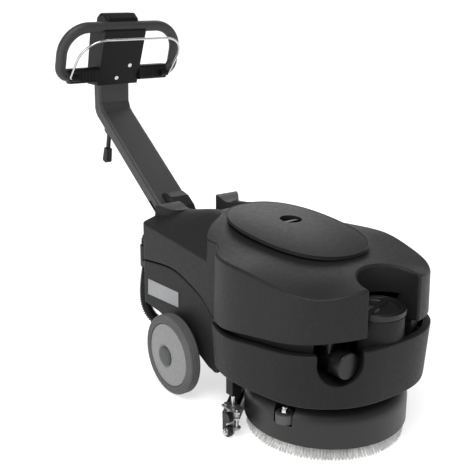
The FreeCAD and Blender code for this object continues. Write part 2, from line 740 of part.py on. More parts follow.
# ---- road wheels -----------------------------------------------------------
def tyre(side):
    """Solid tyre with slightly crowned tread."""
    a, b = WHEEL_IN, WHEEL_OUT
    points = [V(a, 0, DISC_R), V(b, 0, DISC_R), V(b, 0, WHEEL_R - 6), V(b - 5, 0, WHEEL_R - 1),
              V(b - 11, 0, WHEEL_R),
              V(a + 11, 0, WHEEL_R), V(a + 5, 0, WHEEL_R - 1), V(a, 0, WHEEL_R - 6)]
    return on_wheel(points, side)


def on_wheel(points, side):
    placed = [V(p.x * side, WHEEL_Y, WHEEL_R + p.z) for p in points]
    return revolve(placed, V(0, WHEEL_Y, WHEEL_R), V(1, 0, 0))


def rim(side):
    points = [V(190, 0, DISC_R), V(218, 0, DISC_R), V(220, 0, DISC_R - 3), V(224, 0, 60), V(226, 0, 40),
              V(226, 0, AXLE_R + 0.05), V(178, 0, AXLE_R + 0.05), V(178, 0, 18), V(210, 0, 20), V(214, 0, 40),
              V(212, 0, 66), V(206, 0, 74), V(190, 0, 74)]
    return on_wheel(points, side)


def hub_cap(side):
    return on_wheel([V(226, 0, 0), V(226, 0, 24), V(229, 0, 22), V(231, 0, 15), V(231.5, 0, 0)], side)


def axle_stubs():
    stub = cyl(128, WHEEL_Y, WHEEL_R, AXLE_R, 97.5, (1, 0, 0))
    sleeve = cyl(166, WHEEL_Y, WHEEL_R, 13, 11.6, (1, 0, 0))
    return both(stub.fuse(sleeve))


def axle_brackets():
    """U-shaped steel brackets hung under the body, one to each wheel."""
    outer = box(160, 166, 296, 370, 86, 190)
    inner = box(128, 134, 296, 370, 86, 190)
    lip = box(128, 166, 296, 370, 100, 190)
    skin = chassis_solid(0.0)
    lowered_skin = skin.copy()
    lowered_skin.translate(V(0, 0, -6))
    sheet = lip.common(lowered_skin)
    shape = outer.multiFuse([inner, sheet]).cut(skin).cut(cyl(100, WHEEL_Y, WHEEL_R, AXLE_R, 100, (1, 0, 0)))
    biggest = max(shape.Solids, key=lambda s: s.Volume)
    return both(biggest)


# ---- squeegee --------------------------------------------------------------
def ahead_of(offset, z0, z1):
    """Everything ahead of the squeegee's line, a rounded V in plan, moved back by offset."""
    near = SQ_NEAR + offset
    bend = SQ_BEND + offset
    side = V(math.sin(SQ_ANGLE), math.cos(SQ_ANGLE), 0)
    along = V(math.cos(SQ_ANGLE), -math.sin(SQ_ANGLE), 0)
    turn = V(0, SQ_TURN_Y, z0)
    touch = turn + side * bend
    far = side * near + along * 300 + V(0, 0, z0)
    edges = [Part.Arc(mirrored(touch), turn + V(0, bend, 0), touch).toShape()]
    corners = [touch, far, V(far.x, -300, z0), V(-far.x, -300, z0), mirrored(far), mirrored(touch)]
    edges += Part.makePolygon(corners).Edges
    return Part.Face(Part.Wire(edges)).extrude(V(0, 0, z1 - z0))


def mirrored(point):
    return V(-point.x, point.y, point.z)


def strip(offset0, offset1, z0, z1):
    band = ahead_of(offset1, z0, z1).cut(ahead_of(offset0, z0 - 1, z1 + 1))
    return band.common(box(-SQ_HALF, SQ_HALF, SQ_END, 400, z0, z1))


def squeegee_body():
    """V-shaped channel with a suction nozzle on top at its bend."""
    channel = strip(-11.5, 11.5, 26, 58).cut(strip(-8.5, 8.5, 20, 54))
    z = 76.0
    path = [V(0, NOZZLE_Y, 55), V(0, NOZZLE_Y, z), V(0, 296, z)]
    elbow = swept(path, 15, 0, 16)
    bore = swept(path, 12.5, 0, 16)
    foot = cyl(0, NOZZLE_Y, 54, 20, 8).common(strip(-11.5, 11.5, 50, 70))
    return channel.multiFuse([elbow, foot]).cut(bore).cut(cyl(0, NOZZLE_Y, 40, 8, 20))


def squeegee_ends():
    """End brackets: a plate on the channel, a block ahead of its end and an ear for the small wheel."""
    top = box(188, 219, 62, 108, 58, 62)
    block = box(205, 219, 62, SQ_END - 0.5, 24, 60)
    ear = box(214, 219, 64, 84, 6, 40)
    shape = top.multiFuse([block, ear]).cut(cyl(200, 71, 14, 4, 30, (1, 0, 0)))
    shape = shape.cut(cyl(204, 71, 48, 4.05, 20, (1, 0, 0)))
    shape = shape.cut(cyl(GUIDE_X, GUIDE_Y, 50, GUIDE_R, 20))
    for x, y in ((211, 70), (211, 100)):
        shape = shape.fuse(hex_head(x, y, 62, 10, 5))
    return both(shape)


def guide_rods():
    """Chrome guide rods that the squeegee rises on, and the small wheels' axle bolts."""
    rod = cyl(GUIDE_X, GUIDE_Y, 58, GUIDE_R, 54)
    bolt = cyl(206, 71, 14, 4, 30, (1, 0, 0)).fuse(hex_head(234.5, 71, 14, 13, 4, (1, 0, 0)))
    return both(rod) + both(bolt)


def squeegee_wheel(side):
    wheel = tube(221, 71, 14, 13, 4.05, 12, (1, 0, 0))
    wheel = rounded(wheel, 2, lambda e: len(e.Vertexes) == 1 and e.Curve.Radius > 10)
    return wheel if side > 0 else wheel.mirror(V(0, 0, 0), V(1, 0, 0))


def squeegee_knob(side):
    """Knurled clamp knob on a stud."""
    knob = cyl(221, 71, 48, 12, 12, (1, 0, 0))
    for k in range(12):
        a = 2 * math.pi * k / 12
        knob = knob.cut(cyl(220, 71 + 12.6 * math.cos(a), 48 + 12.6 * math.sin(a), 1.8, 15, (1, 0, 0)))
    knob = knob.fuse(cyl(206, 71, 48, 4, 16, (1, 0, 0)))
    return knob if side > 0 else knob.mirror(V(0, 0, 0), V(1, 0, 0))


def squeegee_hangers():
    """Blocks under the body that the guide rods slide in."""
    block = box(188, 212, 76, 100, 92, BODY_LOW)
    lug = box(192, 208, 70, 106, 128, BODY_LOW)
    return both(block.fuse(lug).cut(cyl(GUIDE_X, GUIDE_Y, 80, GUIDE_R + RUN_FIT, 80)))


# ---- suction hose ----------------------------------------------------------
HOSE_ROUTE = [(0, 296, 76), (0, 352, 76), (-22, 402, 84), (-62, 447, 96), (-100, 492, 118), (-126, 536, 160),
              (-138, 549, 212), (-140, 548, 262)]


def hose_points():
    return [V(*p) for p in HOSE_ROUTE]


def hose(points, r, bore):
    """Straight runs joined by tangent arcs, each arc as wide as its shorter run allows."""
    edges = []
    here = points[0]
    for a, b, c in zip(points, points[1:], points[2:]):
        to_b = (b - a).normalize()
        to_c = (c - b).normalize()
        half = to_b.getAngle(to_c) / 2
        cut = 0.45 * min((b - a).Length, (c - b).Length)
        bend = cut / math.tan(half)
        start = b - to_b * cut
        end = b + to_c * cut
        middle = (to_c - to_b).normalize()
        crown = b + middle * (bend / math.cos(half) - bend)
        edges.append(Part.makeLine(here, start))
        edges.append(Part.Arc(start, crown, end).toShape())
        print("hose bend radius", round(bend, 1))
        here = end
    edges.append(Part.makeLine(here, points[-1]))
    path = Part.Wire(edges)
    direction = points[1] - points[0]
    outer = path.makePipeShell([Part.Wire(Part.makeCircle(r, points[0], direction))], True, False)
    inner = path.makePipeShell([Part.Wire(Part.makeCircle(bore, points[0], direction))], True, False)
    solid = outer.cut(inner)
    wanted = math.pi * (r * r - bore * bore) * path.Length
    print("hose length", round(path.Length, 1), "volume", round(solid.Volume), "expected", round(wanted))
    return solid


def hose_cuff():
    """Cuff the spigot drops into, and the clip that holds it to the body's back wall."""
    cuff = tube(SPIGOT_X, HOSE_TOP_Y, 262, 19, SPIGOT_R + RUN_FIT, 56)
    cuff = cuff.cut(cyl(SPIGOT_X, HOSE_TOP_Y, 250, 13, 20))
    clip = box(SPIGOT_X - 24, SPIGOT_X + 24, REAR_Y + 0.5, HOSE_TOP_Y - 10, 266, 282)
    return cuff.fuse(clip.cut(cyl(SPIGOT_X, HOSE_TOP_Y, 260, 18, 40)))


# ---- solution filter -------------------------------------------------------
def filter_body():
    """Filter housing on the bay's back wall with its outlet pointing down."""
    barrel = cyl(FILTER_X, FILTER_FACE + 32, FILTER_Z, 22, 42, (0, 1, 0))
    outlet = cyl(FILTER_X, FILTER_FACE + 58, FILTER_Z - 31, 9, 31)
    tap = cyl(FILTER_X - 6, FILTER_FACE + 52, FILTER_Z, 11, 38)
    lever = box(FILTER_X - 30, FILTER_X + 10, FILTER_FACE + 46, FILTER_FACE + 58,
                FILTER_Z + 36, FILTER_Z + 43)
    shape = barrel.multiFuse([outlet, tap, lever])
    return shape.cut(cyl(FILTER_X, FILTER_FACE + 30, FILTER_Z, 16, 10, (0, 1, 0)))


def filter_bowl():
    bowl = cyl(FILTER_X, FILTER_FACE, FILTER_Z, 29, 31.7, (0, 1, 0))
    bowl = rounded(bowl, 2.5, lambda e: len(e.Vertexes) == 1)
    return bowl.fuse(cyl(FILTER_X, FILTER_FACE + 28, FILTER_Z, 15.95, 8, (0, 1, 0)))


# ---- column ----------------------------------------------------------------
RUN = V(0, math.cos(COL_RISE), math.sin(COL_RISE))
FACE = V(0, -math.sin(COL_RISE), math.cos(COL_RISE))
PIVOT = V(0, PIVOT_Y, PIVOT_Z)


def on_column(along, out):
    """The (y, z) of a point that far up the sloping run and that far out of its front face's side."""
    p = PIVOT + RUN * along + FACE * out
    return (p.y, p.z)


def column_outline(inset):
    """Side view of the column: the sloping run, a bend, then upright into the head."""
    half = COL_THICK / 2 - inset
    front_y = BEND_Y - 4 + inset
    back_y = BEND_Y + 35 - inset
    along_front = (front_y - on_column(0, half)[0]) / RUN.y
    along_back = (back_y - on_column(0, -half)[0]) / RUN.y
    return [on_column(26, half), on_column(along_front - 26, half), on_column(along_front - 12, half + 1.2),
            (front_y - 1, on_column(along_front, half)[1] + 14),
            (front_y - 4 + inset, 722), (back_y - 2, 722), (back_y, on_column(along_back, -half)[1] + 16),
            (back_y - 5, on_column(along_back, -half)[1] + 2),
            on_column(along_back - 16, -half), on_column(26, -half)]


def column_tube():
    outer = prism_x(column_outline(0.0), -COL_HALF, COL_HALF)
    outer = outer.makeFillet(9, [e for e in outer.Edges if not along_x(e) and on_edge_side(e)])
    inner = prism_x(column_outline(3.0), 3 - COL_HALF, COL_HALF - 3)
    mouth = prism_x([on_column(20, 17), on_column(40, 17), on_column(40, -17), on_column(20, -17)], -47, 47)
    crown = prism_x([(930, 700), (1000, 700), (1000, 730), (930, 730)], -47, 47)
    crown = crown.common(prism_x([(944, 690), (979, 690), (979, 740), (944, 740)], -47, 47))
    slot_line = [on_column(110, -4), on_column(215, -4), on_column(215, -13), on_column(110, -13)]
    slot = prism_x(slot_line, -60, -40)
    return outer.cut(inner).cut(mouth).cut(crown).cut(slot).fuse(lever_bracket())


def on_edge_side(edge):
    """True for the column's long edges: those lying in one of its two flat sides, along its run."""
    a, b = edge.Vertexes[0].Point, edge.Vertexes[-1].Point
    if abs(a.x - b.x) > 0.01:
        return False
    run = (b - a).normalize()
    return run.z > 0.2 or run.z < -0.2 and (b - a).Length > 0 and not across(run)


def across(run):
    return abs(run.dot(FACE)) > 0.99


def column_foot():
    """Cast foot: a knuckle round the pivot bolt, a tongue up the tube and a domed collar in front."""
    knuckle = cyl(-50.9, PIVOT_Y, PIVOT_Z, 22, 101.8, (1, 0, 0))
    tongue_line = [on_column(0, 16.8), on_column(96, 16.8), on_column(96, -16.8), on_column(0, -16.8)]
    tongue = prism_x(tongue_line, -46.8, 46.8)
    shape = knuckle.fuse(tongue)
    return shape.cut(cyl(-60, PIVOT_Y, PIVOT_Z, 8.05, 120, (1, 0, 0)))


def column_collar():
    """Plastic collar round the tube where it leaves the tank, domed in front."""
    lump = prism_x([on_column(112, 20.4), on_column(118, 36), on_column(140, 44), on_column(175, 44),
                    on_column(200, 34), on_column(212, 20.4)], -26, 42)
    outer = [e for e in lump.Edges if not along_x(e) and (e.CenterOfMass - PIVOT).dot(FACE) > 25]
    lump = lump.makeFillet(10, outer)
    return lump


def column_bracket():
    """Steel yoke on the bay's floor that holds the pivot bolt."""
    cheek_out = [(444, 150), (508, 150), (508, 250), (524, 277), (516, 295), (500, 301), (484, 295),
                 (476, 277)]
    foot = box(-57, 57, 444, 508, 150, 190)
    shape = prism_x(cheek_out, 51, 57).fuse(prism_x(cheek_out, -57, -51)).fuse(foot)
    shape = shape.cut(prism_x([(400, 100)] + [(600, 100), (600, 176), (400, 176)], -80, 80))
    inside = bay_space().fuse(box(-57, 57, 490, 530, 250, 330))
    return shape.common(inside).cut(cyl(-60, PIVOT_Y, PIVOT_Z, 8, 120, (1, 0, 0)))


def pivot_bolt():
    bolt = cyl(-57, PIVOT_Y, PIVOT_Z, 8, 114, (1, 0, 0))
    return bolt


# ---- head, loop and bail ---------------------------------------------------
HEAD = [(927, 693), (866, 848), (872, 858), (948, 862), (956, 852), (992, 702), (986, 693)]


def head_outline(inset):
    middle_y = sum(p[0] for p in HEAD) / len(HEAD)
    middle_z = sum(p[1] for p in HEAD) / len(HEAD)
    ratio_y = 1 - inset / 45.0
    ratio_z = 1 - inset / 80.0
    return [(middle_y + (y - middle_y) * ratio_y, middle_z + (z - middle_z) * ratio_z) for y, z in HEAD]


def loop_path():
    top_y = LOOP_Y - math.tan(LOOP_LEAN) * (LOOP_TOP - LOOP_Z)
    return [V(-132, LOOP_Y, LOOP_Z), V(-LOOP_HALF, LOOP_Y, LOOP_Z), V(-LOOP_HALF, top_y, LOOP_TOP),
            V(LOOP_HALF, top_y, LOOP_TOP), V(LOOP_HALF, LOOP_Y, LOOP_Z), V(132, LOOP_Y, LOOP_Z)]


def handle_loop():
    return swept(loop_path(), LOOP_R, LOOP_R - 2.5, 34)


def head_housing():
    """Control box with two ribbed arms that carry the loop's ends and the bail's bearings."""
    shell = prism_x(head_outline(0.0), -HEAD_HALF, HEAD_HALF)
    shell = shell.cut(prism_x(head_outline(3.0), 3 - HEAD_HALF, HEAD_HALF - 3))
    back_line = [(951.8, 848.9), (1010, 848.9), (1010, 706.8), (986.0, 706.8)]
    back = prism_x(back_line, 3.1 - HEAD_HALF, HEAD_HALF - 3.1)
    shell = shell.cut(back)
    arm = box(HEAD_HALF, 158, LOOP_Y - 17, LOOP_Y + 17, LOOP_Z - 21, LOOP_Z + 21)
    arm = arm.makeFillet(8, [e for e in arm.Edges if along_x(e)])
    for k in range(6):
        groove = box(84 + 10 * k, 88 + 10 * k, LOOP_Y - 20, LOOP_Y - 15.5, LOOP_Z - 14, LOOP_Z + 14)
        arm = arm.cut(groove)
    boss = cyl(136, BAIL_Y, BAIL_Z, 8, 22, (1, 0, 0))
    boss = boss.fuse(box(136, 158, BAIL_Y, LOOP_Y, BAIL_Z - 6, BAIL_Z + 6))
    arm = arm.fuse(boss).cut(cyl(130, LOOP_Y, LOOP_Z, LOOP_R, 60, (1, 0, 0)))
    arm = arm.cut(cyl(134, BAIL_Y, BAIL_Z, BAIL_R + RUN_FIT, 40, (1, 0, 0)))
    shell = shell.multiFuse(both(arm))
    column = prism_x(column_outline(0.0), -COL_HALF, COL_HALF)
    return shell.cut(column).cut(top_bar(0.0)).cut(Part.makeCompound(head_screws()))


def top_bar(grow):
    p = loop_path()[2]
    return cyl(-100, p.y, p.z, LOOP_R + grow, 200, (1, 0, 0))


def dash_panel():
    """Panel on the rider's side of the head, with openings for the switches and the flow knob."""
    y0, z0 = 990.0, 708.0
    y1, z1 = 955.6, 848.0
    lean = V(0, y1 - y0, z1 - z0).normalize()
    out = V(0, lean.z, -lean.y)
    points = [V(0, y0, z0), V(0, y1, z1), V(0, y1, z1) - out * 3, V(0, y0, z0) - out * 3]
    panel = prism_x([(p.y, p.z) for p in points], 3.2 - HEAD_HALF, HEAD_HALF - 3.2)
    for x in (-30, 30):
        panel = panel.cut(dash_block(x, 98, 11, 15, -10, 10))
    return panel.cut(dash_round(0, 45, 6.05, -10, 20))


DASH_A = V(0, 990.0, 708.0)
DASH_RUN = V(0, 955.6 - 990.0, 848.0 - 708.0).normalize()
DASH_OUT = V(0, DASH_RUN.z, -DASH_RUN.y)


def dash_block(x, up, half_w, half_h, low, high):
    """A block standing on the dash: centred at x, that far up it, from low to high out of its face."""
    near = DASH_A + DASH_RUN * (up - half_h)
    far = DASH_A + DASH_RUN * (up + half_h)
    corner = [near + DASH_OUT * low, far + DASH_OUT * low, far + DASH_OUT * high, near + DASH_OUT * high]
    return prism_x([(p.y, p.z) for p in corner], x - half_w, x + half_w)


def dash_round(x, up, r, low, high):
    start = DASH_A + DASH_RUN * up + DASH_OUT * low + V(x, 0, 0)
    return Part.makeCylinder(r, high - low, start, DASH_OUT)


def rocker(x):
    """Rocker switch key, thicker at both ends than in the middle."""
    a = DASH_A + DASH_RUN * 98
    ends = [(-14, -6), (-14, 3.5), (0, 1.5), (14, 3.5), (14, -6)]
    points = [a + DASH_RUN * u + DASH_OUT * v for u, v in ends]
    return prism_x([(p.y, p.z) for p in points], x - 10, x + 10)


def flow_knob():
    knob = dash_round(0, 45, 16, 0.5, 14).fuse(dash_round(0, 45, 6, -8, 2))
    return knob.fuse(dash_block(0, 45, 2.5, 15, 13, 18))


def head_hood():
    """Rounded cap over the head and the loop's top bar."""
    outline = [(874, 862.5), (880, 884), (896, 897), (928, 897), (946, 886), (952, 863.5)]
    shape = prism_x(outline, -52, 52)
    shape = shape.makeFillet(10, [e for e in shape.Edges if not along_x(e) and e.CenterOfMass.z > 870])
    return shape.cut(top_bar(0.0)).cut(prism_x(head_outline(0.0), -HEAD_HALF, HEAD_HALF))


def head_screws():
    """Two screws in the front face of the head."""
    lean = V(0, HEAD[1][0] - HEAD[0][0], HEAD[1][1] - HEAD[0][1]).normalize()
    out = V(0, -lean.z, lean.y)
    shapes = []
    for x, up in ((30, 60), (-8, 22)):
        p = V(x, HEAD[0][0], HEAD[0][1]) + lean * up
        head = Part.makeCylinder(6, 2.5, p, out)
        shapes.append(head.fuse(Part.makeCylinder(2.5, 12, p - out * 11, out)))
    return shapes


def bail():
    """Chrome wire squeezed towards the loop to run the brush."""
    up = BAIL_LONG * math.cos(BAIL_LEAN)
    forward = BAIL_LONG * math.sin(BAIL_LEAN)
    path = [V(-140, BAIL_Y, BAIL_Z), V(-BAIL_HALF, BAIL_Y, BAIL_Z),
            V(-BAIL_HALF, BAIL_Y - forward, BAIL_Z + up), V(BAIL_HALF, BAIL_Y - forward, BAIL_Z + up),
            V(BAIL_HALF, BAIL_Y, BAIL_Z), V(140, BAIL_Y, BAIL_Z)]
    return bail_wire(path)


def bail_wire(path):
    radii = [5.0, 45.0, 45.0, 5.0]
    edges = []
    here = path[0]
    for a, b, c, bend in zip(path, path[1:], path[2:], radii):
        to_b = (b - a).normalize()
        to_c = (c - b).normalize()
        half = to_b.getAngle(to_c) / 2
        cut = bend * math.tan(half)
        crown = b + (to_c - to_b).normalize() * (bend / math.cos(half) - bend)
        edges.append(Part.makeLine(here, b - to_b * cut))
        edges.append(Part.Arc(b - to_b * cut, crown, b + to_c * cut).toShape())
        here = b + to_c * cut
    edges.append(Part.makeLine(here, path[-1]))
    ring = Part.Wire(Part.makeCircle(BAIL_R, path[0], path[1] - path[0]))
    return Part.Wire(edges).makePipeShell([ring], True, False)


# ---- lift lever ------------------------------------------------------------
LEVER = V(LEVER_X, 948.0, 556.0)


def lever_bracket():
    """Two ears welded to the column's back face, with the lever's pin."""
    along = (LEVER - PIVOT).dot(RUN)
    out = (LEVER - PIVOT).dot(FACE)
    plate = prism_x([on_column(along - 26, -20), on_column(along + 26, -20), on_column(along + 26, -23),
                     on_column(along - 26, -23)], LEVER_X - 15, LEVER_X + 15)
    ear_outline = [on_column(along - 14, -22), on_column(along + 14, -22), on_column(along + 9, out - 7),
                   on_column(along - 9, out - 7)]
    ears = [prism_x(ear_outline, LEVER_X + a, LEVER_X + a + 4) for a in (-12, 8)]
    pin = cyl(LEVER_X - 14, LEVER.y, LEVER.z, 4, 28, (1, 0, 0))
    return plate.multiFuse(ears + [pin])


def lift_lever():
    """Flat lever with a flared hand grip, hanging down from its pin."""
    eye = cyl(LEVER_X - 6, LEVER.y, LEVER.z, 10, 12, (1, 0, 0))
    reach = V(0, 23, -98).normalize()
    side = V(0, 98, 23).normalize()
    stem = [LEVER + reach * 4 - side * 6, LEVER + reach * 64 - side * 6, LEVER + reach * 64 + side * 6,
            LEVER + reach * 4 + side * 6]
    grip = [LEVER + reach * 58 - side * 8, LEVER + reach * 98 - side * 12, LEVER + reach * 102 - side * 8,
            LEVER + reach * 102 + side * 8, LEVER + reach * 98 + side * 12, LEVER + reach * 58 + side * 8]
    shape = eye.fuse(prism_x([(p.y, p.z) for p in stem], LEVER_X - 4, LEVER_X + 4))
    shape = shape.fuse(prism_x([(p.y, p.z) for p in grip], LEVER_X - 9, LEVER_X + 9))
    return shape.cut(cyl(LEVER_X - 20, LEVER.y, LEVER.z, 4.05, 40, (1, 0, 0)))


# ---- write every piece -----------------------------------------------------
def side_plates():
    """Plain plates on the body's two rear flanks."""
    corners = [(347, 213), (489, 206), (487, 248), (347, 252)]
    skin = chassis_solid(0.0)
    thick = prism_x(corners, REAR_HALF - 20, REAR_HALF + 20)
    moved = skin.copy()
    moved.translate(V(1.5, 0, 0))
    plate = thick.common(moved).cut(skin)
    return both(max(plate.Solids, key=lambda s: s.Volume))


def pieces():
    left, right = 1, -1
    return {
        "lower_body": lower_body(),
        "batteries": batteries(),
        "bay_cover": bay_cover(),
        "vacuum_motor": vacuum_motor(),
        "suction_fan": suction_fan(),
        "brush_motor": brush_motor(),
        "gearbox": gearbox(),
        "drive_hub": drive_hub(),
        "deck_cover": deck_cover(),
        "brush_plate": brush_plate(),
        "bristles": bristles(),
        "roller_left": roller(ROLLER_X),
        "roller_right": roller(-ROLLER_X),
        "roller_bolts": roller_bolts(),
        "tyre_left": tyre(left),
        "tyre_right": tyre(right),
        "rim_left": rim(left),
        "rim_right": rim(right),
        "hub_cap_left": hub_cap(left),
        "hub_cap_right": hub_cap(right),
        "axle_stubs": axle_stubs(),
        "axle_brackets": axle_brackets(),
        "side_plates": side_plates(),
        "squeegee_body": squeegee_body(),
        "front_blade": strip(-14.5, -11.5, 1.2, 44),
        "rear_blade": strip(11.5, 15.5, 0.5, 44),
        "blade_clamps": [strip(-16, -14.5, 30, 42), strip(15.5, 17, 30, 42)],
        "squeegee_ends": squeegee_ends(),
        "guide_rods": guide_rods(),
        "squeegee_wheel_left": squeegee_wheel(left),
        "squeegee_wheel_right": squeegee_wheel(right),
        "squeegee_knob_left": squeegee_knob(left),
        "squeegee_knob_right": squeegee_knob(right),
        "squeegee_hangers": squeegee_hangers(),
        "suction_hose": hose(hose_points(), HOSE_R, HOSE_R - 2.5),
        "hose_cuff": hose_cuff(),
        "filter_body": filter_body(),
        "filter_bowl": filter_bowl(),
        "recovery_tank": tank(),
        "float_cage": float_cage(),
        "float_ball": float_ball(),
        "hose_spigot": spigot(),
        "lid": lid(),
        "lid_knob": lid_knob(),
        "filler_cap": filler_cap(),
        "column_tube": column_tube(),
        "column_foot": column_foot(),
        "column_collar": column_collar(),
        "column_bracket": column_bracket(),
        "pivot_bolt": pivot_bolt(),
        "lift_lever": lift_lever(),
        "head_housing": head_housing(),
        "head_hood": head_hood(),
        "dash_panel": dash_panel(),
        "switch_brush": rocker(-30),
        "switch_vacuum": rocker(30),
        "flow_knob": flow_knob(),
        "handle_loop": handle_loop(),
        "head_screws": head_screws(),
        "bail_wire": bail(),
    }


os.makedirs("parts", exist_ok=True)
for name, shape in pieces().items():
    write(name, shape)
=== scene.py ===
import json
import math
import random

import bmesh
import bpy
from mathutils import Matrix, Quaternion, Vector


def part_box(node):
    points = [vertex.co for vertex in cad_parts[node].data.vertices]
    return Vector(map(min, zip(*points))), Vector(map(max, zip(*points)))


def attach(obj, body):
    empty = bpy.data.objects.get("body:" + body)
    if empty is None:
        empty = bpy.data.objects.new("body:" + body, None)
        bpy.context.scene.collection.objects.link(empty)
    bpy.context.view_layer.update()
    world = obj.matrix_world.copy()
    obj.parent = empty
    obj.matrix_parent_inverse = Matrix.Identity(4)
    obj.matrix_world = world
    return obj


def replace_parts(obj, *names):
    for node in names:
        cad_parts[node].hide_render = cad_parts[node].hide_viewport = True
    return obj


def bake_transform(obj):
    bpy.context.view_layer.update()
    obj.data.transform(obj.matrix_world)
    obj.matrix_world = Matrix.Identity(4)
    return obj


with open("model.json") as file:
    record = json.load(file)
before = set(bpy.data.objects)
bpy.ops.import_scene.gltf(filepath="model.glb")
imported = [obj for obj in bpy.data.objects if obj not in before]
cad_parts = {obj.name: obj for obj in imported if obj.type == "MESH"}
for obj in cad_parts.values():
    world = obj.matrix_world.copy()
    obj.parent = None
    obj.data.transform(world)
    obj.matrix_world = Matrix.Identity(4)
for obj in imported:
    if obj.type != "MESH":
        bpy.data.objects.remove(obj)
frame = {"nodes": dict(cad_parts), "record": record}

MM = 0.001
SCENE = bpy.context.scene
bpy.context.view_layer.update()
NODES = frame["nodes"]
random.seed(7)


# ---- materials -------------------------------------------------------------
MIX_FACTOR, MIX_A, MIX_B, MIX_OUT = 0, 6, 7, 2
BEVEL_SAMPLES = 4


class Shade:
    """A node material built up in a few calls; lengths are metres in the row frame."""

    def __init__(self, name, rough=0.5, metal=0.0, specular=0.5, coat=0.0, coat_rough=0.3):
        self.material = bpy.data.materials.new(name)
        self.material.use_nodes = True
        self.tree = self.material.node_tree
        self.bsdf = self.tree.nodes["Principled BSDF"]
        self.bsdf.inputs["Roughness"].default_value = rough
        self.bsdf.inputs["Metallic"].default_value = metal
        self.bsdf.inputs["Specular IOR Level"].default_value = specular
        self.bsdf.inputs["Coat Weight"].default_value = coat
        self.bsdf.inputs["Coat Roughness"].default_value = coat_rough
        self.place = self.node("ShaderNodeTexCoord").outputs["Object"]
        self.normal = None

    def node(self, kind, **values):
        n = self.tree.nodes.new(kind)
        for key, value in values.items():
            if hasattr(n, key):
                setattr(n, key, value)
            else:
                n.inputs[key.replace("_", " ")].default_value = value
        return n

    def link(self, a, b):
        self.tree.links.new(a, b)

    def noise(self, size, detail=3.0, rough=0.5, stretch=None):
        n = self.node("ShaderNodeTexNoise", Scale=1.0 / size, Detail=detail, Roughness=rough)
        where = self.place
        if stretch:
            m = self.node("ShaderNodeMapping", Scale=stretch)
            self.link(where, m.inputs["Vector"])
            where = m.outputs["Vector"]
        self.link(where, n.inputs["Vector"])
        return n.outputs["Fac"]

    def cells(self, size, feature="F1"):
        n = self.node("ShaderNodeTexVoronoi", feature=feature)
        n.inputs["Scale"].default_value = 1.0 / size
        self.link(self.place, n.inputs["Vector"])
        return n.outputs["Distance"]

    def spread(self, value, low, high, start=0.3, end=0.7):
        n = self.node("ShaderNodeMapRange")
        for key, number in (("From Min", start), ("From Max", end), ("To Min", low), ("To Max", high)):
            n.inputs[key].default_value = number
        self.link(value, n.inputs["Value"])
        return n.outputs["Result"]

    def mix(self, factor, a, b):
        n = self.node("ShaderNodeMix", data_type="RGBA")
        for index, value in ((MIX_FACTOR, factor), (MIX_A, a), (MIX_B, b)):
            socket = n.inputs[index]
            if isinstance(value, (tuple, float, int)):
                socket.default_value = value if not isinstance(value, tuple) else (*value[:3], 1.0)
            else:
                self.link(value, socket)
        return n.outputs[MIX_OUT]

    def colour(self, value):
        if isinstance(value, tuple):
            self.bsdf.inputs["Base Color"].default_value = (*value[:3], 1.0)
        else:
            self.link(value, self.bsdf.inputs["Base Color"])

    def roughness(self, value):
        self.link(value, self.bsdf.inputs["Roughness"])

    def bump(self, height, strength, depth):
        n = self.node("ShaderNodeBump", Strength=strength, Distance=depth)
        self.link(height, n.inputs["Height"])
        if self.normal is not None:
            self.link(self.normal, n.inputs["Normal"])
        self.normal = n.outputs["Normal"]
        self.link(self.normal, self.bsdf.inputs["Normal"])

    def round_edges(self, radius):
        n = self.node("ShaderNodeBevel", samples=BEVEL_SAMPLES, Radius=radius)
        self.normal = n.outputs["Normal"]
        self.link(self.normal, self.bsdf.inputs["Normal"])


def tint(base, k):
    return tuple(min(1.0, c * k) for c in base[:3])


def moulded(name, base, rough=0.55, grain=0.0011, deep=0.35, patch=0.05, edge=0.0, specular=0.4, **more):
    """Grained moulded plastic: fine pebble, cloudy colour, faint scuffs that lighten and dull it."""
    s = Shade(name, rough=rough, specular=specular, **more)
    if edge:
        s.round_edges(edge)
    cloud = s.noise(0.16, 4.0, 0.6)
    speck = s.noise(grain * 1.8, 3.0, 0.7)
    scuff = s.noise(0.012, 6.0, 0.7, (1.0, 2.2, 4.0))
    body = s.mix(s.spread(cloud, 0.0, 1.0), tint(base, 1 - patch), tint(base, 1 + patch))
    body = s.mix(s.spread(speck, 0.0, 1.0, 0.38, 0.68), tint(base, 0.62), body)
    body = s.mix(s.spread(speck, 0.0, 0.9, 0.55, 0.8), body, tint(base, 2.2))
    body = s.mix(s.spread(scuff, 0.0, 0.12, 0.66, 0.8), body, tint(base, 1.6))
    s.colour(body)
    s.roughness(s.spread(s.noise(0.009, 4.0), rough - 0.04, rough + 0.05))
    s.bump(s.cells(grain), deep, grain * 0.14)
    s.bump(s.noise(grain * 3.0, 3.0), deep * 0.5, grain * 0.22)
    return s.material


def rubber(name, base, rough=0.75, grain=0.0008, deep=0.3):
    s = Shade(name, rough=rough, specular=0.3)
    dust = s.noise(0.02, 5.0, 0.65)
    body = s.mix(s.spread(s.noise(0.07, 3.0), 0.0, 1.0), tint(base, 0.88), tint(base, 1.1))
    s.colour(s.mix(s.spread(dust, 0.0, 0.4, 0.5, 0.75), body, tint(base, 1.35)))
    s.roughness(s.spread(dust, rough - 0.1, min(rough + 0.1, 1.0)))
    s.bump(s.noise(grain, 3.0), deep, grain * 0.25)
    return s.material


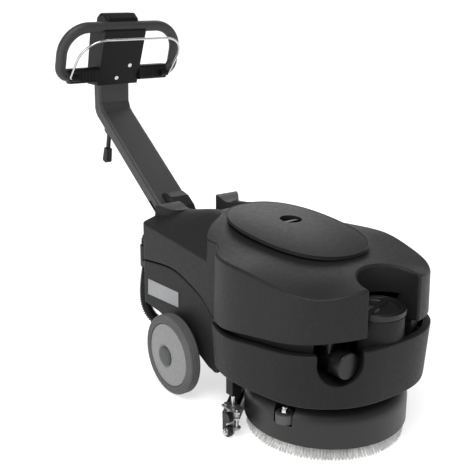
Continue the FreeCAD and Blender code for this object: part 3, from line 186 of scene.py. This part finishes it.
def metal(name, base, rough, brushed=None, edge=0.0, wear=0.06):
    s = Shade(name, rough=rough, metal=1.0)
    if edge:
        s.round_edges(edge)
    smear = s.noise(0.018, 4.0, 0.6)
    s.colour(s.mix(s.spread(smear, 0.0, 1.0), tint(base, 0.9), base))
    if brushed:
        lines = s.noise(0.0006, 3.0, 0.7, brushed)
        s.roughness(s.spread(lines, rough - wear, rough + wear * 2))
        s.bump(lines, 0.12, 0.00008)
    else:
        s.roughness(s.spread(smear, max(rough - wear, 0.02), rough + wear))
        s.bump(s.noise(0.004, 3.0), 0.05, 0.0002)
    return s.material


def painted(name, base, rough=0.5, orange=0.0016, deep=0.22, edge=0.0008, specular=0.45):
    """Powder coat: a fine orange-peel skin with a few dull scuffs."""
    s = Shade(name, rough=rough, specular=specular)
    if edge:
        s.round_edges(edge)
    cloud = s.noise(0.12, 4.0, 0.6)
    scuff = s.noise(0.02, 7.0, 0.72, (3.0, 0.8, 0.8))
    body = s.mix(s.spread(cloud, 0.0, 1.0), tint(base, 0.92), tint(base, 1.08))
    s.colour(s.mix(s.spread(scuff, 0.0, 0.4, 0.62, 0.8), body, tint(base, 1.5)))
    s.roughness(s.spread(s.noise(0.01, 3.0), rough - 0.06, rough + 0.08))
    s.bump(s.noise(orange, 2.0, 0.5), deep, 0.0003)
    return s.material


MAT = {
    "body_plastic": moulded("body_plastic", (0.0125, 0.0125, 0.013), 0.52, specular=0.22),
    "tank_plastic": moulded("tank_plastic", (0.0165, 0.0165, 0.017), 0.52, specular=0.25),
    "deck_plastic": moulded("deck_plastic", (0.0125, 0.0125, 0.013), 0.42,
                            grain=0.0007, deep=0.2, specular=0.5),
    "head_plastic": moulded("head_plastic", (0.005, 0.005, 0.0052), 0.46,
                            grain=0.0009, deep=0.4, edge=0.002, specular=0.2),
    "grip_plastic": moulded("grip_plastic", (0.008, 0.008, 0.008), 0.5,
                            grain=0.0009, edge=0.001, specular=0.3),
    "cap_plastic": moulded("cap_plastic", (0.017, 0.0172, 0.0175), 0.42,
                           grain=0.0006, deep=0.15, edge=0.001),
    "knob_plastic": moulded("knob_plastic", (0.006, 0.006, 0.0062), 0.34,
                            grain=0.0006, deep=0.12, edge=0.0008),
    "disc_plastic": moulded("disc_plastic", (0.27, 0.27, 0.273), 0.5,
                            grain=0.0008, deep=0.15, patch=0.04),
    "hub_plastic": moulded("hub_plastic", (0.062, 0.066, 0.067), 0.45, grain=0.0006, deep=0.15),
    "tyre_rubber": rubber("tyre_rubber", (0.09, 0.09, 0.09)),
    "roller_rubber": rubber("roller_rubber", (0.085, 0.085, 0.085), 0.62),
    "blade_rubber": rubber("blade_rubber", (0.022, 0.021, 0.02), 0.5),
    "hose_rubber": rubber("hose_rubber", (0.007, 0.007, 0.007), 0.38),
    "bristle_nylon": rubber("bristle_nylon", (0.9, 0.9, 0.89), 0.5),
    "brush_block": moulded("brush_block", (0.05, 0.05, 0.05), 0.5, edge=0.001),
    "column_paint": painted("column_paint", (0.036, 0.0363, 0.037), 0.46),
    "black_steel": painted("black_steel", (0.006, 0.006, 0.006), 0.42, specular=0.2),
    "grey_cast": metal("grey_cast", (0.32, 0.32, 0.33), 0.5, edge=0.0008, wear=0.12),
    "chrome_wire": metal("chrome_wire", (0.62, 0.63, 0.64), 0.16, wear=0.04),
    "zinc_steel": metal("zinc_steel", (0.55, 0.55, 0.56), 0.32,
                        brushed=(1.0, 1.0, 8.0), edge=0.0004),
    "motor_paint": painted("motor_paint", (0.03, 0.03, 0.03), 0.4),
    "battery_case": moulded("battery_case", (0.08, 0.08, 0.085), 0.5, edge=0.002),
    "plate_film": painted("plate_film", (0.27, 0.275, 0.28), 0.38, 0.0006, 0.05, 0.0003),
    "switch_red": moulded("switch_red", (0.42, 0.03, 0.02), 0.3,
                          grain=0.0005, deep=0.05, edge=0.0006, coat=0.3),
    "ball_plastic": moulded("ball_plastic", (0.55, 0.55, 0.55), 0.35, deep=0.08, patch=0.03),
    "tube_paint": painted("tube_paint", (0.03, 0.03, 0.031), 0.5, 0.0009, 0.3),
    "caster_rubber": rubber("caster_rubber", (0.012, 0.012, 0.012), 0.55),
}

SLOT_OF = {p["node"]: p["material_slot"] for p in frame["record"]["subparts"]}


def dress():
    """Gives each CAD node its slot's finish; the small squeegee wheels are darker rubber."""
    for name, node in NODES.items():
        finish = "caster_rubber" if name.startswith("squeegee_wheel") else SLOT_OF[name]
        node.data.materials.clear()
        node.data.materials.append(MAT[finish])


dress()


# ---- mesh helpers ----------------------------------------------------------
SAME_POINT = 1e-6
BRUSH_LOW, BRUSH_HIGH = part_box("bristles")
BRUSH_Y = (BRUSH_LOW[1] + BRUSH_HIGH[1]) / 2


def at(x, y, z):
    """A place given in millimetres from the brush's centre on the floor, in the row frame."""
    return Vector((x * MM, y * MM + BRUSH_Y, z * MM))


def middle(node):
    low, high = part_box(node)
    return (Vector(low) + Vector(high)) / 2


def add_piece(name, mesh, slot, body=None, smooth=40.0):
    for polygon in mesh.polygons:
        polygon.use_smooth = True
    if smooth:
        mesh.set_sharp_from_angle(angle=math.radians(smooth))
    mesh.materials.append(MAT[slot])
    piece = bpy.data.objects.new(name, mesh)
    SCENE.collection.objects.link(piece)
    if body:
        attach(piece, body)
    return piece


def meshed(bm, name):
    """The finished mesh; the working copy is freed."""
    mesh = bpy.data.meshes.new(name)
    bm.to_mesh(mesh)
    bm.free()
    return mesh


def band(bm, one, two, closed=True):
    """A row of four-sided faces between two lines of vertices."""
    count = len(one)
    for k in range(count if closed else count - 1):
        j = (k + 1) % count
        bm.faces.new((one[k], one[j], two[j], two[k]))


def outline(points, steps=5):
    """Corners (along, radius, fillet) as a line with each corner rounded; fillet 0 keeps it sharp."""
    line = []
    for i, (u, r, fillet) in enumerate(points):
        if not fillet or i in (0, len(points) - 1):
            line.append((u, r))
            continue
        here = Vector((u, r))
        before = (Vector(points[i - 1][:2]) - here).normalized()
        after = (Vector(points[i + 1][:2]) - here).normalized()
        for k in range(steps + 1):
            t = k / steps
            a = here + before * fillet * (1 - t)
            b = here + after * fillet * t
            line.append(tuple(a.lerp(b, t)))
    return line


def frame_of(axis):
    a = Vector(axis).normalized()
    b = a.orthogonal().normalized()
    return a, b, a.cross(b)


def lathe(name, line, centre, axis, steps=96, closed=False, wave=None):
    """A line of (along, radius) turned about an axis through centre."""
    a, b, c = frame_of(axis)
    bm = bmesh.new()
    rings = []
    for k in range(steps):
        angle = 2 * math.pi * k / steps
        out = b * math.cos(angle) + c * math.sin(angle)
        ring = []
        for u, r in line:
            r = r + (wave(u, r, angle) if wave else 0.0)
            ring.append(bm.verts.new(centre + a * u + out * r))
        rings.append(ring)
    for k in range(steps):
        band(bm, rings[k], rings[(k + 1) % steps], closed)
    bmesh.ops.remove_doubles(bm, verts=bm.verts, dist=SAME_POINT)
    bmesh.ops.recalc_face_normals(bm, faces=bm.faces)
    return meshed(bm, name)


def skin(name, placed, radii, sides=24):
    """A round skin over (place, direction) stations, with a radius for each."""
    bm = bmesh.new()
    across = placed[0][1].orthogonal().normalized()
    rings = []
    for (place, along), r in zip(placed, radii):
        across = (across - along * across.dot(along)).normalized()
        other = along.cross(across)
        ring = []
        for k in range(sides):
            a = 2 * math.pi * k / sides
            ring.append(bm.verts.new(place + (across * math.cos(a) + other * math.sin(a)) * r))
        rings.append(ring)
    for one, two in zip(rings, rings[1:]):
        band(bm, one, two)
    bm.faces.new(rings[0])
    bm.faces.new(rings[-1])
    bmesh.ops.recalc_face_normals(bm, faces=bm.faces)
    return meshed(bm, name)


def bent(corners, radii, steps=14):
    """Stations along straight runs with a round bend at each inner corner, as a bender makes them."""
    placed = [(corners[0], (corners[1] - corners[0]).normalized())]
    for a, b, c, bend in zip(corners, corners[1:], corners[2:], radii):
        to_b = (b - a).normalized()
        to_c = (c - b).normalized()
        half = to_b.angle(to_c) / 2
        centre = b + (to_c - to_b).normalized() * (bend / math.cos(half))
        start = b - to_b * (bend * math.tan(half))
        for k in range(steps + 1):
            turn = Quaternion(to_b.cross(to_c).normalized(), 2 * half * k / steps)
            arm = start - centre
            along = to_b.copy()
            arm.rotate(turn)
            along.rotate(turn)
            placed.append((centre + arm, along))
    placed.append((corners[-1], (corners[-1] - corners[-2]).normalized()))
    return placed


def turned(name, points, centre, axis, steps, **more):
    """A turned piece from corners (along, radius, fillet) in millimetres."""
    line = outline([(u * MM, r * MM, fillet * MM) for u, r, fillet in points])
    return lathe(name, line, centre, axis, steps, **more)


def outwards(side):
    """+1 on the machine's left, which is +X, and -1 on its right."""
    return 1.0 if side == "left" else -1.0


# ---- road wheels -----------------------------------------------------------
TYRE_LINE = [(0, 80, 0), (0, 92, 5), (4, 101, 4), (10.5, 101.2, 0.3), (11.5, 100, 0.3), (12.5, 101.2, 0.3),
             (21.5, 101.2, 0.3), (22.5, 100, 0.3), (23.5, 101.2, 0.3), (29.5, 101, 4), (33, 94, 3),
             (34.2, 92.4, 0.6), (34.2, 90.8, 0.6), (33.4, 90, 0.4), (33.9, 86, 1.5), (33.4, 81.4, 1),
             (31, 80, 0)]
RIM_LINE = [(4, 79.4, 0), (29, 79.4, 0.4), (31.6, 78.6, 1.2), (32.2, 75.8, 1.0), (36.2, 60, 8), (39.3, 38, 8),
            (40.0, 29.5, 1.2), (38.6, 27.8, 0.8), (38.6, 23, 0)]
RIM_BACK_LINE = [(4, 79.4, 0), (5.5, 74, 2), (10, 70, 4), (24, 20, 4), (-8, 18, 2), (-8, 8, 0)]
HUB_LINE = [(38.4, 25.6, 0), (42.6, 25.2, 1.4), (44.6, 19, 4), (45.4, 0, 0)]
TYRE_STEPS = 128
RIM_STEPS = 96
HUB_STEPS = 64


def road_wheel(side):
    """Tyre, the rim's two faces and the hub cap, turned about the axle from the tyre's inner face."""
    low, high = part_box("tyre_" + side)
    out = outwards(side)
    axle = (out, 0, 0)
    centre = middle("tyre_" + side)
    centre.x = low[0] if out > 0 else high[0]
    body = "wheel_" + side
    tyre = turned("tyre_mesh_" + side, TYRE_LINE, centre, axle, TYRE_STEPS, closed=True)
    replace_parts(add_piece("tyre_moulded_" + side, tyre, "tyre_rubber", body), "tyre_" + side)
    disc = turned("rim_mesh_" + side, RIM_LINE, centre, axle, RIM_STEPS)
    back = turned("rim_back_mesh_" + side, RIM_BACK_LINE, centre, axle, RIM_STEPS)
    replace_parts(add_piece("rim_face_" + side, disc, "disc_plastic", body), "rim_" + side)
    add_piece("rim_back_" + side, back, "disc_plastic", body)
    cap = turned("hub_mesh_" + side, HUB_LINE, centre, axle, HUB_STEPS)
    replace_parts(add_piece("hub_dome_" + side, cap, "hub_plastic", body), "hub_cap_" + side)


# ---- brush -----------------------------------------------------------------
# each ring: radius at the block, radius at the floor, tufts, bristles in a tuft
RINGS = [(157.5, 180.5, 150, 21), (151, 173, 150, 12), (143, 163, 150, 7), (130, 142, 110, 7),
         (112, 116, 90, 7), (92, 84, 74, 7)]
FILAMENT = 0.48
FILAMENT_TAPER = 0.9
FILAMENT_BOW = 0.5
FILAMENT_SIDES = 3
TUFT_TOP = 2.1
TUFT_FOOT = 2.5
TUFT_WANDER = 0.06
TUFT_LEAN = 0.6
FOOT_LOW = 0.2
FOOT_HIGH = 1.6


def filament(bm, top, foot, half):
    """One nylon bristle: a thin three-sided stem with a slight bow."""
    bow = (top + foot) / 2
    bow += Vector((random.gauss(0, FILAMENT_BOW), random.gauss(0, FILAMENT_BOW), 0)) * MM
    turn = random.uniform(0, 2 * math.pi)
    angles = [turn + 2 * math.pi * k / FILAMENT_SIDES for k in range(FILAMENT_SIDES)]
    rings = []
    for point, width in ((top, half), (bow, half), (foot, half * FILAMENT_TAPER)):
        rings.append([bm.verts.new(point + Vector((math.cos(a), math.sin(a), 0)) * width) for a in angles])
    for one, two in zip(rings, rings[1:]):
        band(bm, one, two)
    bm.faces.new(rings[-1])


def in_disc(radius):
    """A random place in a flat disc, evenly spread."""
    a = random.uniform(0, 2 * math.pi)
    r = radius * math.sqrt(random.random())
    return Vector((math.cos(a), math.sin(a), 0)) * r


def brush():
    """Rings of bristle tufts that splay outwards at the rim and inwards at the middle."""
    top = at(0, 0, BRUSH_HIGH[2] / MM)
    bm = bmesh.new()
    for index, (r_top, r_foot, tufts, count) in enumerate(RINGS):
        offset = 0.5 * (index % 2)
        for k in range(tufts):
            a = 2 * math.pi * (k + offset + random.uniform(-TUFT_WANDER, TUFT_WANDER)) / tufts
            out = Vector((math.cos(a), math.sin(a), 0))
            lean = random.gauss(0, TUFT_LEAN)
            side = Vector((-out.y, out.x, 0))
            for _ in range(count):
                spot = in_disc(1.0)
                high = top + (out * r_top + spot * TUFT_TOP) * MM
                low = at(0, 0, random.uniform(FOOT_LOW, FOOT_HIGH))
                low += (out * r_foot + side * lean + spot * TUFT_FOOT) * MM
                filament(bm, high, low, FILAMENT * MM)
    tufts = add_piece("bristle_tufts", meshed(bm, "bristle_mesh"), "bristle_nylon", "brush", smooth=0)
    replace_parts(tufts, "bristles")


# ---- suction hose ----------------------------------------------------------
HOSE_ROUTE = [(0, 296, 76), (-2, 344, 76), (-30, 390, 79), (-70, 436, 84), (-112, 486, 94), (-146, 534, 122),
              (-153, 553, 184), (-140, 548, 262)]
SPIGOT_ROUTE = [(-140, 548, 263), (-141, 548, 300), (-141, 549, 338), (-140, 532, 341), (-140, 518, 341)]
HOSE_R = 13.6
HOSE_RIB = 1.5
HOSE_PITCH = 5.8
HOSE_CUFF = 22.0
HOSE_STEP = 0.7
CUFF_PROUD = 2.2
CUFF_GROOVE = 0.8
CUFF_WAVE = 0.9
CUFF_EDGE = 0.8
CURVE_STEPS = 24


def route_points(points):
    """Points along a NURBS line through the route's control points."""
    curve = bpy.data.curves.new("hose_line", "CURVE")
    curve.dimensions = "3D"
    curve.resolution_u = CURVE_STEPS
    line = curve.splines.new("NURBS")
    line.points.add(len(points) - 1)
    for point, place in zip(line.points, points):
        point.co = (*at(*place), 1.0)
    line.order_u = 3
    line.use_endpoint_u = True
    holder = bpy.data.objects.new("hose_line", curve)
    mesh = bpy.data.meshes.new_from_object(holder)
    found = [v.co.copy() for v in mesh.vertices]
    bpy.data.objects.remove(holder)
    return found


def stations(points, step):
    """Evenly spaced (distance, place, direction) along a line of points."""
    placed = []
    left = 0.0
    walked = 0.0
    for a, b in zip(points, points[1:]):
        length = (b - a).length
        if length < SAME_POINT * MM:
            continue
        while left <= length:
            placed.append((walked + left, a.lerp(b, left / length), (b - a).normalized()))
            left += step
        left -= length
        walked += length
    return placed


def ribbed_tube(name, route, cuff):
    """A corrugated tube along a route, smooth for the length of a cuff at its first end."""
    placed = stations(route_points(route), HOSE_STEP * MM)
    radii = []
    for s, _, _ in placed:
        r = HOSE_R + HOSE_RIB * math.cos(2 * math.pi * s / (HOSE_PITCH * MM))
        if s < cuff * MM:
            r = HOSE_R + CUFF_PROUD - CUFF_GROOVE * (math.sin(s / MM * CUFF_WAVE) > CUFF_EDGE)
        radii.append(r * MM)
    return skin(name, [(place, along) for _, place, along in placed], radii)


def hose():
    """The hose, drawn in one fixed shape from its first end at the squeegee, and the spigot's ribbed sleeve.
    """
    mesh = ribbed_tube("hose_mesh", HOSE_ROUTE, HOSE_CUFF)
    ribbed = add_piece("hose_ribbed", mesh, "hose_rubber", smooth=0)
    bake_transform(ribbed)
    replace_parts(ribbed, "suction_hose")
    sleeve = ribbed_tube("spigot_mesh", SPIGOT_ROUTE, 0.0)
    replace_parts(add_piece("spigot_ribbed", sleeve, "hose_rubber", "tank", smooth=0), "hose_spigot")


# ---- filler cap ------------------------------------------------------------
CAP_LINE = [(-12, 60, 0), (-12, 64.6, 0.8), (-1.4, 65, 2.4), (0, 62.4, 1.6), (-0.6, 60.2, 1.0),
            (-5, 59.4, 1.2), (-5.2, 56.8, 1.0), (-1.6, 56.2, 1.0), (-1.4, 52.8, 1.2), (-9, 51.4, 2.4),
            (-10, 34, 1.0), (-10, 0, 0)]
CAP_STEPS = 192
FLUTES = 48
FLUTE_DEPTH = 0.35
FLUTE_R = 64.0
FLUTE_TOP = -2.0
SKIRT_STEPS = 96
BUTTON_LINE = [(-10.2, 17.5, 0), (-7.4, 17.2, 0.8), (-6.8, 12, 2), (-6.6, 0, 0)]
BUTTON_OFFSET = Vector((-9, 4, 0))
BUTTON_STEPS = 48
BAR_HALF = 51.0
BAR_STEPS = 24
BAR_TURN = math.radians(20)
BAR_WAIST = 4.6
BAR_FLARE = 5.0
BAR_TOP = -2.2
BAR_RISE = 1.2
BAR_FOOT = -10.4


def cap_ribs(u, r, angle):
    """Shallow grip flutes round the cap's wall."""
    if r < FLUTE_R * MM or u > FLUTE_TOP * MM:
        return 0.0
    return -FLUTE_DEPTH * MM * max(0.0, math.cos(FLUTES * angle))


def filler_cap():
    """The dished cap with its fluted wall, its skirt in the neck, the button and the grip bar."""
    low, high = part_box("filler_cap")
    centre = middle("filler_cap")
    centre.z = high[2]
    up = (0, 0, 1)
    mesh = turned("cap_mesh", CAP_LINE, centre, up, CAP_STEPS, wave=cap_ribs)
    dish = add_piece("cap_dish", mesh, "cap_plastic", "fill_cap")
    depth = (low[2] - high[2]) / MM
    skirt = [(-11, 61, 0), (depth + 1, 60.6, 1.0), (depth, 58.6, 0.6), (depth, 54, 0)]
    mesh = turned("cap_skirt_mesh", skirt, centre, up, SKIRT_STEPS)
    add_piece("cap_skirt", mesh, "cap_plastic", "fill_cap")
    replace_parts(dish, "filler_cap")
    button = turned("cap_button_mesh", BUTTON_LINE, centre + BUTTON_OFFSET * MM, up, BUTTON_STEPS)
    add_piece("cap_button", button, "hub_plastic", "fill_cap")
    grip_bar(centre)


def grip_bar(centre):
    """The raised bar across the cap, narrow in the middle and wide at its ends."""
    bm = bmesh.new()
    run = Vector((math.cos(BAR_TURN), math.sin(BAR_TURN), 0))
    side = Vector((-run.y, run.x, 0))
    rows = []
    for i in range(BAR_STEPS + 1):
        t = 2 * i / BAR_STEPS - 1
        width = BAR_WAIST + BAR_FLARE * t * t
        top = BAR_TOP - BAR_RISE * (1 - t * t)
        ring = []
        for across, up in ((-1.0, BAR_FOOT), (-0.92, top - 1.4), (-0.7, top - 0.3), (0, top),
                           (0.7, top - 0.3), (0.92, top - 1.4), (1.0, BAR_FOOT)):
            offset = run * BAR_HALF * t + side * width * across + Vector((0, 0, up))
            ring.append(bm.verts.new(centre + offset * MM))
        rows.append(ring)
    for one, two in zip(rows, rows[1:]):
        band(bm, one, two, closed=False)
    bmesh.ops.recalc_face_normals(bm, faces=bm.faces)
    add_piece("cap_grip_bar", meshed(bm, "grip_bar_mesh"), "cap_plastic", "fill_cap", smooth=60)


# ---- lid -------------------------------------------------------------------
LID_CENTRE = Vector((0, 119, 442))
LID_TILT = math.tan(math.radians(4.8))
LID_POWER = 2.35
RIM_BEAD = 1.3
RIM_LIFT = 0.4
RIM_POINTS = 160
RIM_SIDES = 12


def lid_rim():
    """The rolled bead round the lid's edge."""
    low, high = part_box("lid")
    half_w = (high[0] - low[0]) / 2 / MM
    half_l = (high[1] - low[1]) / 2 / MM
    ring = []
    for k in range(RIM_POINTS + 1):
        a = 2 * math.pi * k / RIM_POINTS
        c, s = math.cos(a), math.sin(a)
        x = half_w * math.copysign(abs(c) ** (2 / LID_POWER), c)
        y = half_l * math.copysign(abs(s) ** (2 / LID_POWER), s)
        z = LID_CENTRE.z + y * LID_TILT + RIM_LIFT
        ring.append(at(x, LID_CENTRE.y + y, z))
    before = ring[-2:-1] + ring
    after = ring[1:] + ring[1:2]
    placed = [(b, (c - a).normalized()) for a, b, c in zip(before, ring, after)]
    mesh = skin("lid_rim_mesh", placed, [RIM_BEAD * MM] * len(placed), RIM_SIDES)
    add_piece("lid_rim", mesh, "tank_plastic", "tank_lid")


# ---- squeegee's end hardware -----------------------------------------------
STUD_X = 213.0
STUD_Y = 57.0
STUD_R = 3.4
STUD_LOW = 17.0
STUD_LENGTH = 52.0
# height, radius and thickness of what is on the stud
STUD_WASHER = (56.4, 8.2, 1.5)
STUD_NUTS = [(57.9, 7.6, 6), (44, 7.2, 5), (18, 7.0, 5)]
THREAD_STEP = 0.55
THREAD_DEPTH = 0.28
NUT_FACE = 0.62
HUB_PROUD = 1.5
HUB_WASHER_BACK = 1.4
HUB_WASHER = (8, 1.2)
HUB_NUT = (7.2, 3.4)
LUG_LEVELS = (23.0, 53.0)
LUG_THICK = 3.2
LUG_R = 8.6
LUG_BACK = 6.0
LUG_STEPS = 16
LUG_EDGE = 0.5
SHARP_EDGE = 1.0
HARDWARE_SMOOTH = 35


def joined(name, meshes):
    """One mesh from several, which are removed."""
    bm = bmesh.new()
    for mesh in meshes:
        bm.from_mesh(mesh)
        bpy.data.meshes.remove(mesh)
    return meshed(bm, name)


def hexagon(u, r, angle):
    """Takes a turned line in to a hexagon whose corners are on the line, at any place u along it."""
    step = math.pi / 3
    flat = math.cos(step / 2) / math.cos((angle % step) - step / 2)
    return r * (min(1.0, flat) - 1.0)


def nut(place, axis, r, height, domed=False):
    """A hexagon nut standing on place, with a round dome on it if asked."""
    line = [(0, 0, 0), (0, r, 0.3), (height, r, 0.6), (height, r * NUT_FACE, 0)]
    if domed:
        dome = [line[-1], (height + r * 0.35, r * 0.6, r * 0.3), (height + r * 0.75, 0, 0)]
        shell = turned("dome", dome, place, axis, 32)
        return joined("nut", [shell, turned("nut", line, place, axis, 48, wave=hexagon)])
    line.append((height, 0, 0))
    return turned("nut", line, place, axis, 48, wave=hexagon)


def washer(place, axis, r, thick):
    line = [(0, 0, 0), (0, r, 0.2), (thick, r, 0.4), (thick, 0, 0)]
    return turned("washer", line, place, axis, 40)


def thread(place, axis, r, length):
    """A threaded stud, its thread drawn as close rings."""
    count = int(length / THREAD_STEP)
    line = [(0, 0, 0)]
    line += [(length * k / count, r - THREAD_DEPTH * (k % 2), 0) for k in range(count + 1)]
    line.append((length, 0, 0))
    return turned("thread", line, place, axis, 20)


def lug(out, low, high):
    """A flat ear round the stud, running back to the end bracket."""
    turns = [math.pi + math.pi * k / LUG_STEPS for k in range(LUG_STEPS + 1)]
    rim = [Vector((STUD_X + LUG_R * math.cos(a), STUD_Y + LUG_R * math.sin(a))) for a in turns]
    rim += [Vector((STUD_X + LUG_R, STUD_Y + LUG_BACK)), Vector((STUD_X - LUG_R, STUD_Y + LUG_BACK))]
    bm = bmesh.new()
    floor = [bm.verts.new(at(out * p.x, p.y, low)) for p in rim]
    roof = [bm.verts.new(at(out * p.x, p.y, high)) for p in rim]
    bm.faces.new(floor)
    bm.faces.new(roof)
    band(bm, floor, roof)
    bmesh.ops.recalc_face_normals(bm, faces=bm.faces)
    edges = [e for e in bm.edges if e.calc_face_angle(0) > SHARP_EDGE]
    bmesh.ops.bevel(bm, geom=edges, offset=LUG_EDGE * MM, segments=2, affect="EDGES")
    return meshed(bm, "lug")


def end_hardware(side):
    """At one end of the squeegee: the stud with its nuts, the wheel's domed nut and two ears."""
    out = outwards(side)
    up = (0, 0, 1)
    sideways = Vector((out, 0, 0))
    stud = [thread(at(out * STUD_X, STUD_Y, STUD_LOW), up, STUD_R, STUD_LENGTH)]
    z, r, thick = STUD_WASHER
    stud.append(washer(at(out * STUD_X, STUD_Y, z), up, r, thick))
    for z, r, thick in STUD_NUTS:
        stud.append(nut(at(out * STUD_X, STUD_Y, z), up, r, thick))
    low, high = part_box("squeegee_wheel_" + side)
    face = middle("squeegee_wheel_" + side)
    face.x = (high[0] if out > 0 else low[0]) + out * HUB_PROUD * MM
    stud.append(washer(face - sideways * HUB_WASHER_BACK * MM, sideways, *HUB_WASHER))
    stud.append(nut(face, sideways, *HUB_NUT, domed=True))
    studs = joined("end_studs_mesh_" + side, stud)
    add_piece("end_studs_" + side, studs, "zinc_steel", "squeegee", smooth=HARDWARE_SMOOTH)
    lugs = joined("end_lugs_mesh_" + side, [lug(out, level, level + LUG_THICK) for level in LUG_LEVELS])
    add_piece("end_lugs_" + side, lugs, "grey_cast", "squeegee", smooth=HARDWARE_SMOOTH)


# ---- handle ----------------------------------------------------------------
LOOP_R = 15 * MM
LOOP_INNER = 132 * MM
LOOP_FOOT = 30 * MM
LOOP_CROWN = 78 * MM
BAIL_R = 3 * MM
BAIL_INNER = 140 * MM
BAIL_FOOT = 8 * MM
BAIL_CROWN = 74 * MM
BAIL_BEND_STEPS = 24
LOOP_SIDES = 32
BAIL_SIDES = 16


def bow(node, r, inner):
    """The six corners of a bow that starts and ends inside the head, taken from its CAD box."""
    low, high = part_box(node)
    half = high[0] - r
    foot = Vector((0, high[1] - r, low[2] + r))
    crown = Vector((0, low[1] + r, high[2] - r))
    out = Vector((1, 0, 0))
    return [foot - out * inner, foot - out * half, crown - out * half, crown + out * half, foot + out * half,
            foot + out * inner]


def handle():
    """The looped handle bar and the bail wire in front of it, each bent from one round bar."""
    placed = bent(bow("handle_loop", LOOP_R, LOOP_INNER), [LOOP_FOOT, LOOP_CROWN, LOOP_CROWN, LOOP_FOOT])
    mesh = skin("loop_mesh", placed, [LOOP_R] * len(placed), LOOP_SIDES)
    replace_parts(add_piece("loop_moulded", mesh, SLOT_OF["handle_loop"], "column"), "handle_loop")
    bends = [BAIL_FOOT, BAIL_CROWN, BAIL_CROWN, BAIL_FOOT]
    placed = bent(bow("bail_wire", BAIL_R, BAIL_INNER), bends, BAIL_BEND_STEPS)
    mesh = skin("bail_mesh", placed, [BAIL_R] * len(placed), BAIL_SIDES)
    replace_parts(add_piece("bail_bent", mesh, "chrome_wire", "bail"), "bail_wire")


for which in ("left", "right"):
    road_wheel(which)
    end_hardware(which)
handle()
lid_rim()
brush()
hose()
filler_cap()


# ---- floor, light, camera --------------------------------------------------
FLOOR_HALF = 150.0
FLOOR_GLOW = 0.66
WHITE = (1.0, 1.0, 1.0, 1.0)
SKY = 0.30
HORIZON = 0.06
HORIZON_GLOW = 1.05
SUN = 2.1
SUN_WIDTH = math.radians(35)
SUN_FROM = Vector((-0.45, -0.35, 1.0))
# name, place, what it faces, size and power of each soft light
SOFT_LIGHTS = [("side", (-2.6, -0.4, 1.0), (0, 0, 0.3), 1.4, 16.0),
               ("rim", (1.4, 1.6, 1.7), (0, 0, 0.4), 1.2, 14.0)]


def stage():
    """A wide pale paper floor with a faint glow of its own."""
    mesh = bpy.data.meshes.new("floor")
    r = FLOOR_HALF
    mesh.from_pydata([(-r, -r, 0), (r, -r, 0), (r, r, 0), (-r, r, 0)], [], [(0, 1, 2, 3)])
    floor = bpy.data.objects.new("floor", mesh)
    SCENE.collection.objects.link(floor)
    s = Shade("floor_paper", rough=0.9, specular=0.05)
    s.colour(s.mix(s.spread(s.noise(0.5, 2.0), 0.0, 1.0), (0.52, 0.52, 0.52), (0.55, 0.55, 0.55)))
    s.bsdf.inputs["Emission Color"].default_value = WHITE
    s.bsdf.inputs["Emission Strength"].default_value = FLOOR_GLOW
    mesh.materials.append(s.material)


def area(name, place, aim, size, power):
    data = bpy.data.lights.new(name, "AREA")
    data.shape = "RECTANGLE"
    data.size = size
    data.size_y = size
    data.energy = power
    lamp = bpy.data.objects.new(name, data)
    lamp.location = place
    lamp.rotation_euler = (Vector(aim) - Vector(place)).to_track_quat("-Z", "Y").to_euler()
    SCENE.collection.objects.link(lamp)


def lights():
    """A sky that is white at the horizon and grey above, a wide sun and two soft lights."""
    world = bpy.data.worlds.new("studio")
    SCENE.world = world
    world.use_nodes = True
    tree = world.node_tree
    background = tree.nodes["Background"]
    background.inputs["Color"].default_value = WHITE
    place = tree.nodes.new("ShaderNodeTexCoord")
    split = tree.nodes.new("ShaderNodeSeparateXYZ")
    fade = tree.nodes.new("ShaderNodeMapRange")
    for key, number in (("From Min", HORIZON), ("From Max", HORIZON * 2), ("To Min", HORIZON_GLOW),
                        ("To Max", SKY)):
        fade.inputs[key].default_value = number
    tree.links.new(place.outputs["Generated"], split.inputs["Vector"])
    tree.links.new(split.outputs["Z"], fade.inputs["Value"])
    tree.links.new(fade.outputs["Result"], background.inputs["Strength"])
    data = bpy.data.lights.new("sun", "SUN")
    data.energy = SUN
    data.angle = SUN_WIDTH
    lamp = bpy.data.objects.new("sun", data)
    lamp.rotation_euler = (-SUN_FROM).to_track_quat("-Z", "Y").to_euler()
    SCENE.collection.objects.link(lamp)
    for light in SOFT_LIGHTS:
        area(*light)


CAMERA_AT = (-1.25355, -1.69896, 0.98688)
CAMERA_AZIMUTH = math.radians(37.23)
CAMERA_DOWN = math.radians(16.67)
CAMERA_ROLL = math.radians(0.32)
CAMERA_LENS = 65.03
CAMERA_FILM = 36.0


def camera():
    """The camera, aimed by its azimuth, how far it looks down, and a slight roll."""
    data = bpy.data.cameras.new("camera")
    data.lens = CAMERA_LENS
    data.sensor_width = CAMERA_FILM
    data.clip_end = 2 * FLOOR_HALF
    eye = bpy.data.objects.new("camera", data)
    a, e = CAMERA_AZIMUTH, CAMERA_DOWN
    ahead = Vector((math.sin(a) * math.cos(e), math.cos(a) * math.cos(e), -math.sin(e)))
    level = Vector((math.cos(a), -math.sin(a), 0.0))
    up = level.cross(ahead)
    right = level * math.cos(CAMERA_ROLL) + up * math.sin(CAMERA_ROLL)
    above = up * math.cos(CAMERA_ROLL) - level * math.sin(CAMERA_ROLL)
    turn = Matrix((right, above, -ahead)).transposed().to_4x4()
    eye.matrix_world = Matrix.Translation(CAMERA_AT) @ turn
    SCENE.collection.objects.link(eye)
    SCENE.camera = eye
    SCENE.view_settings.view_transform = "Standard"


stage()
lights()
camera()

bpy.context.view_layer.update()
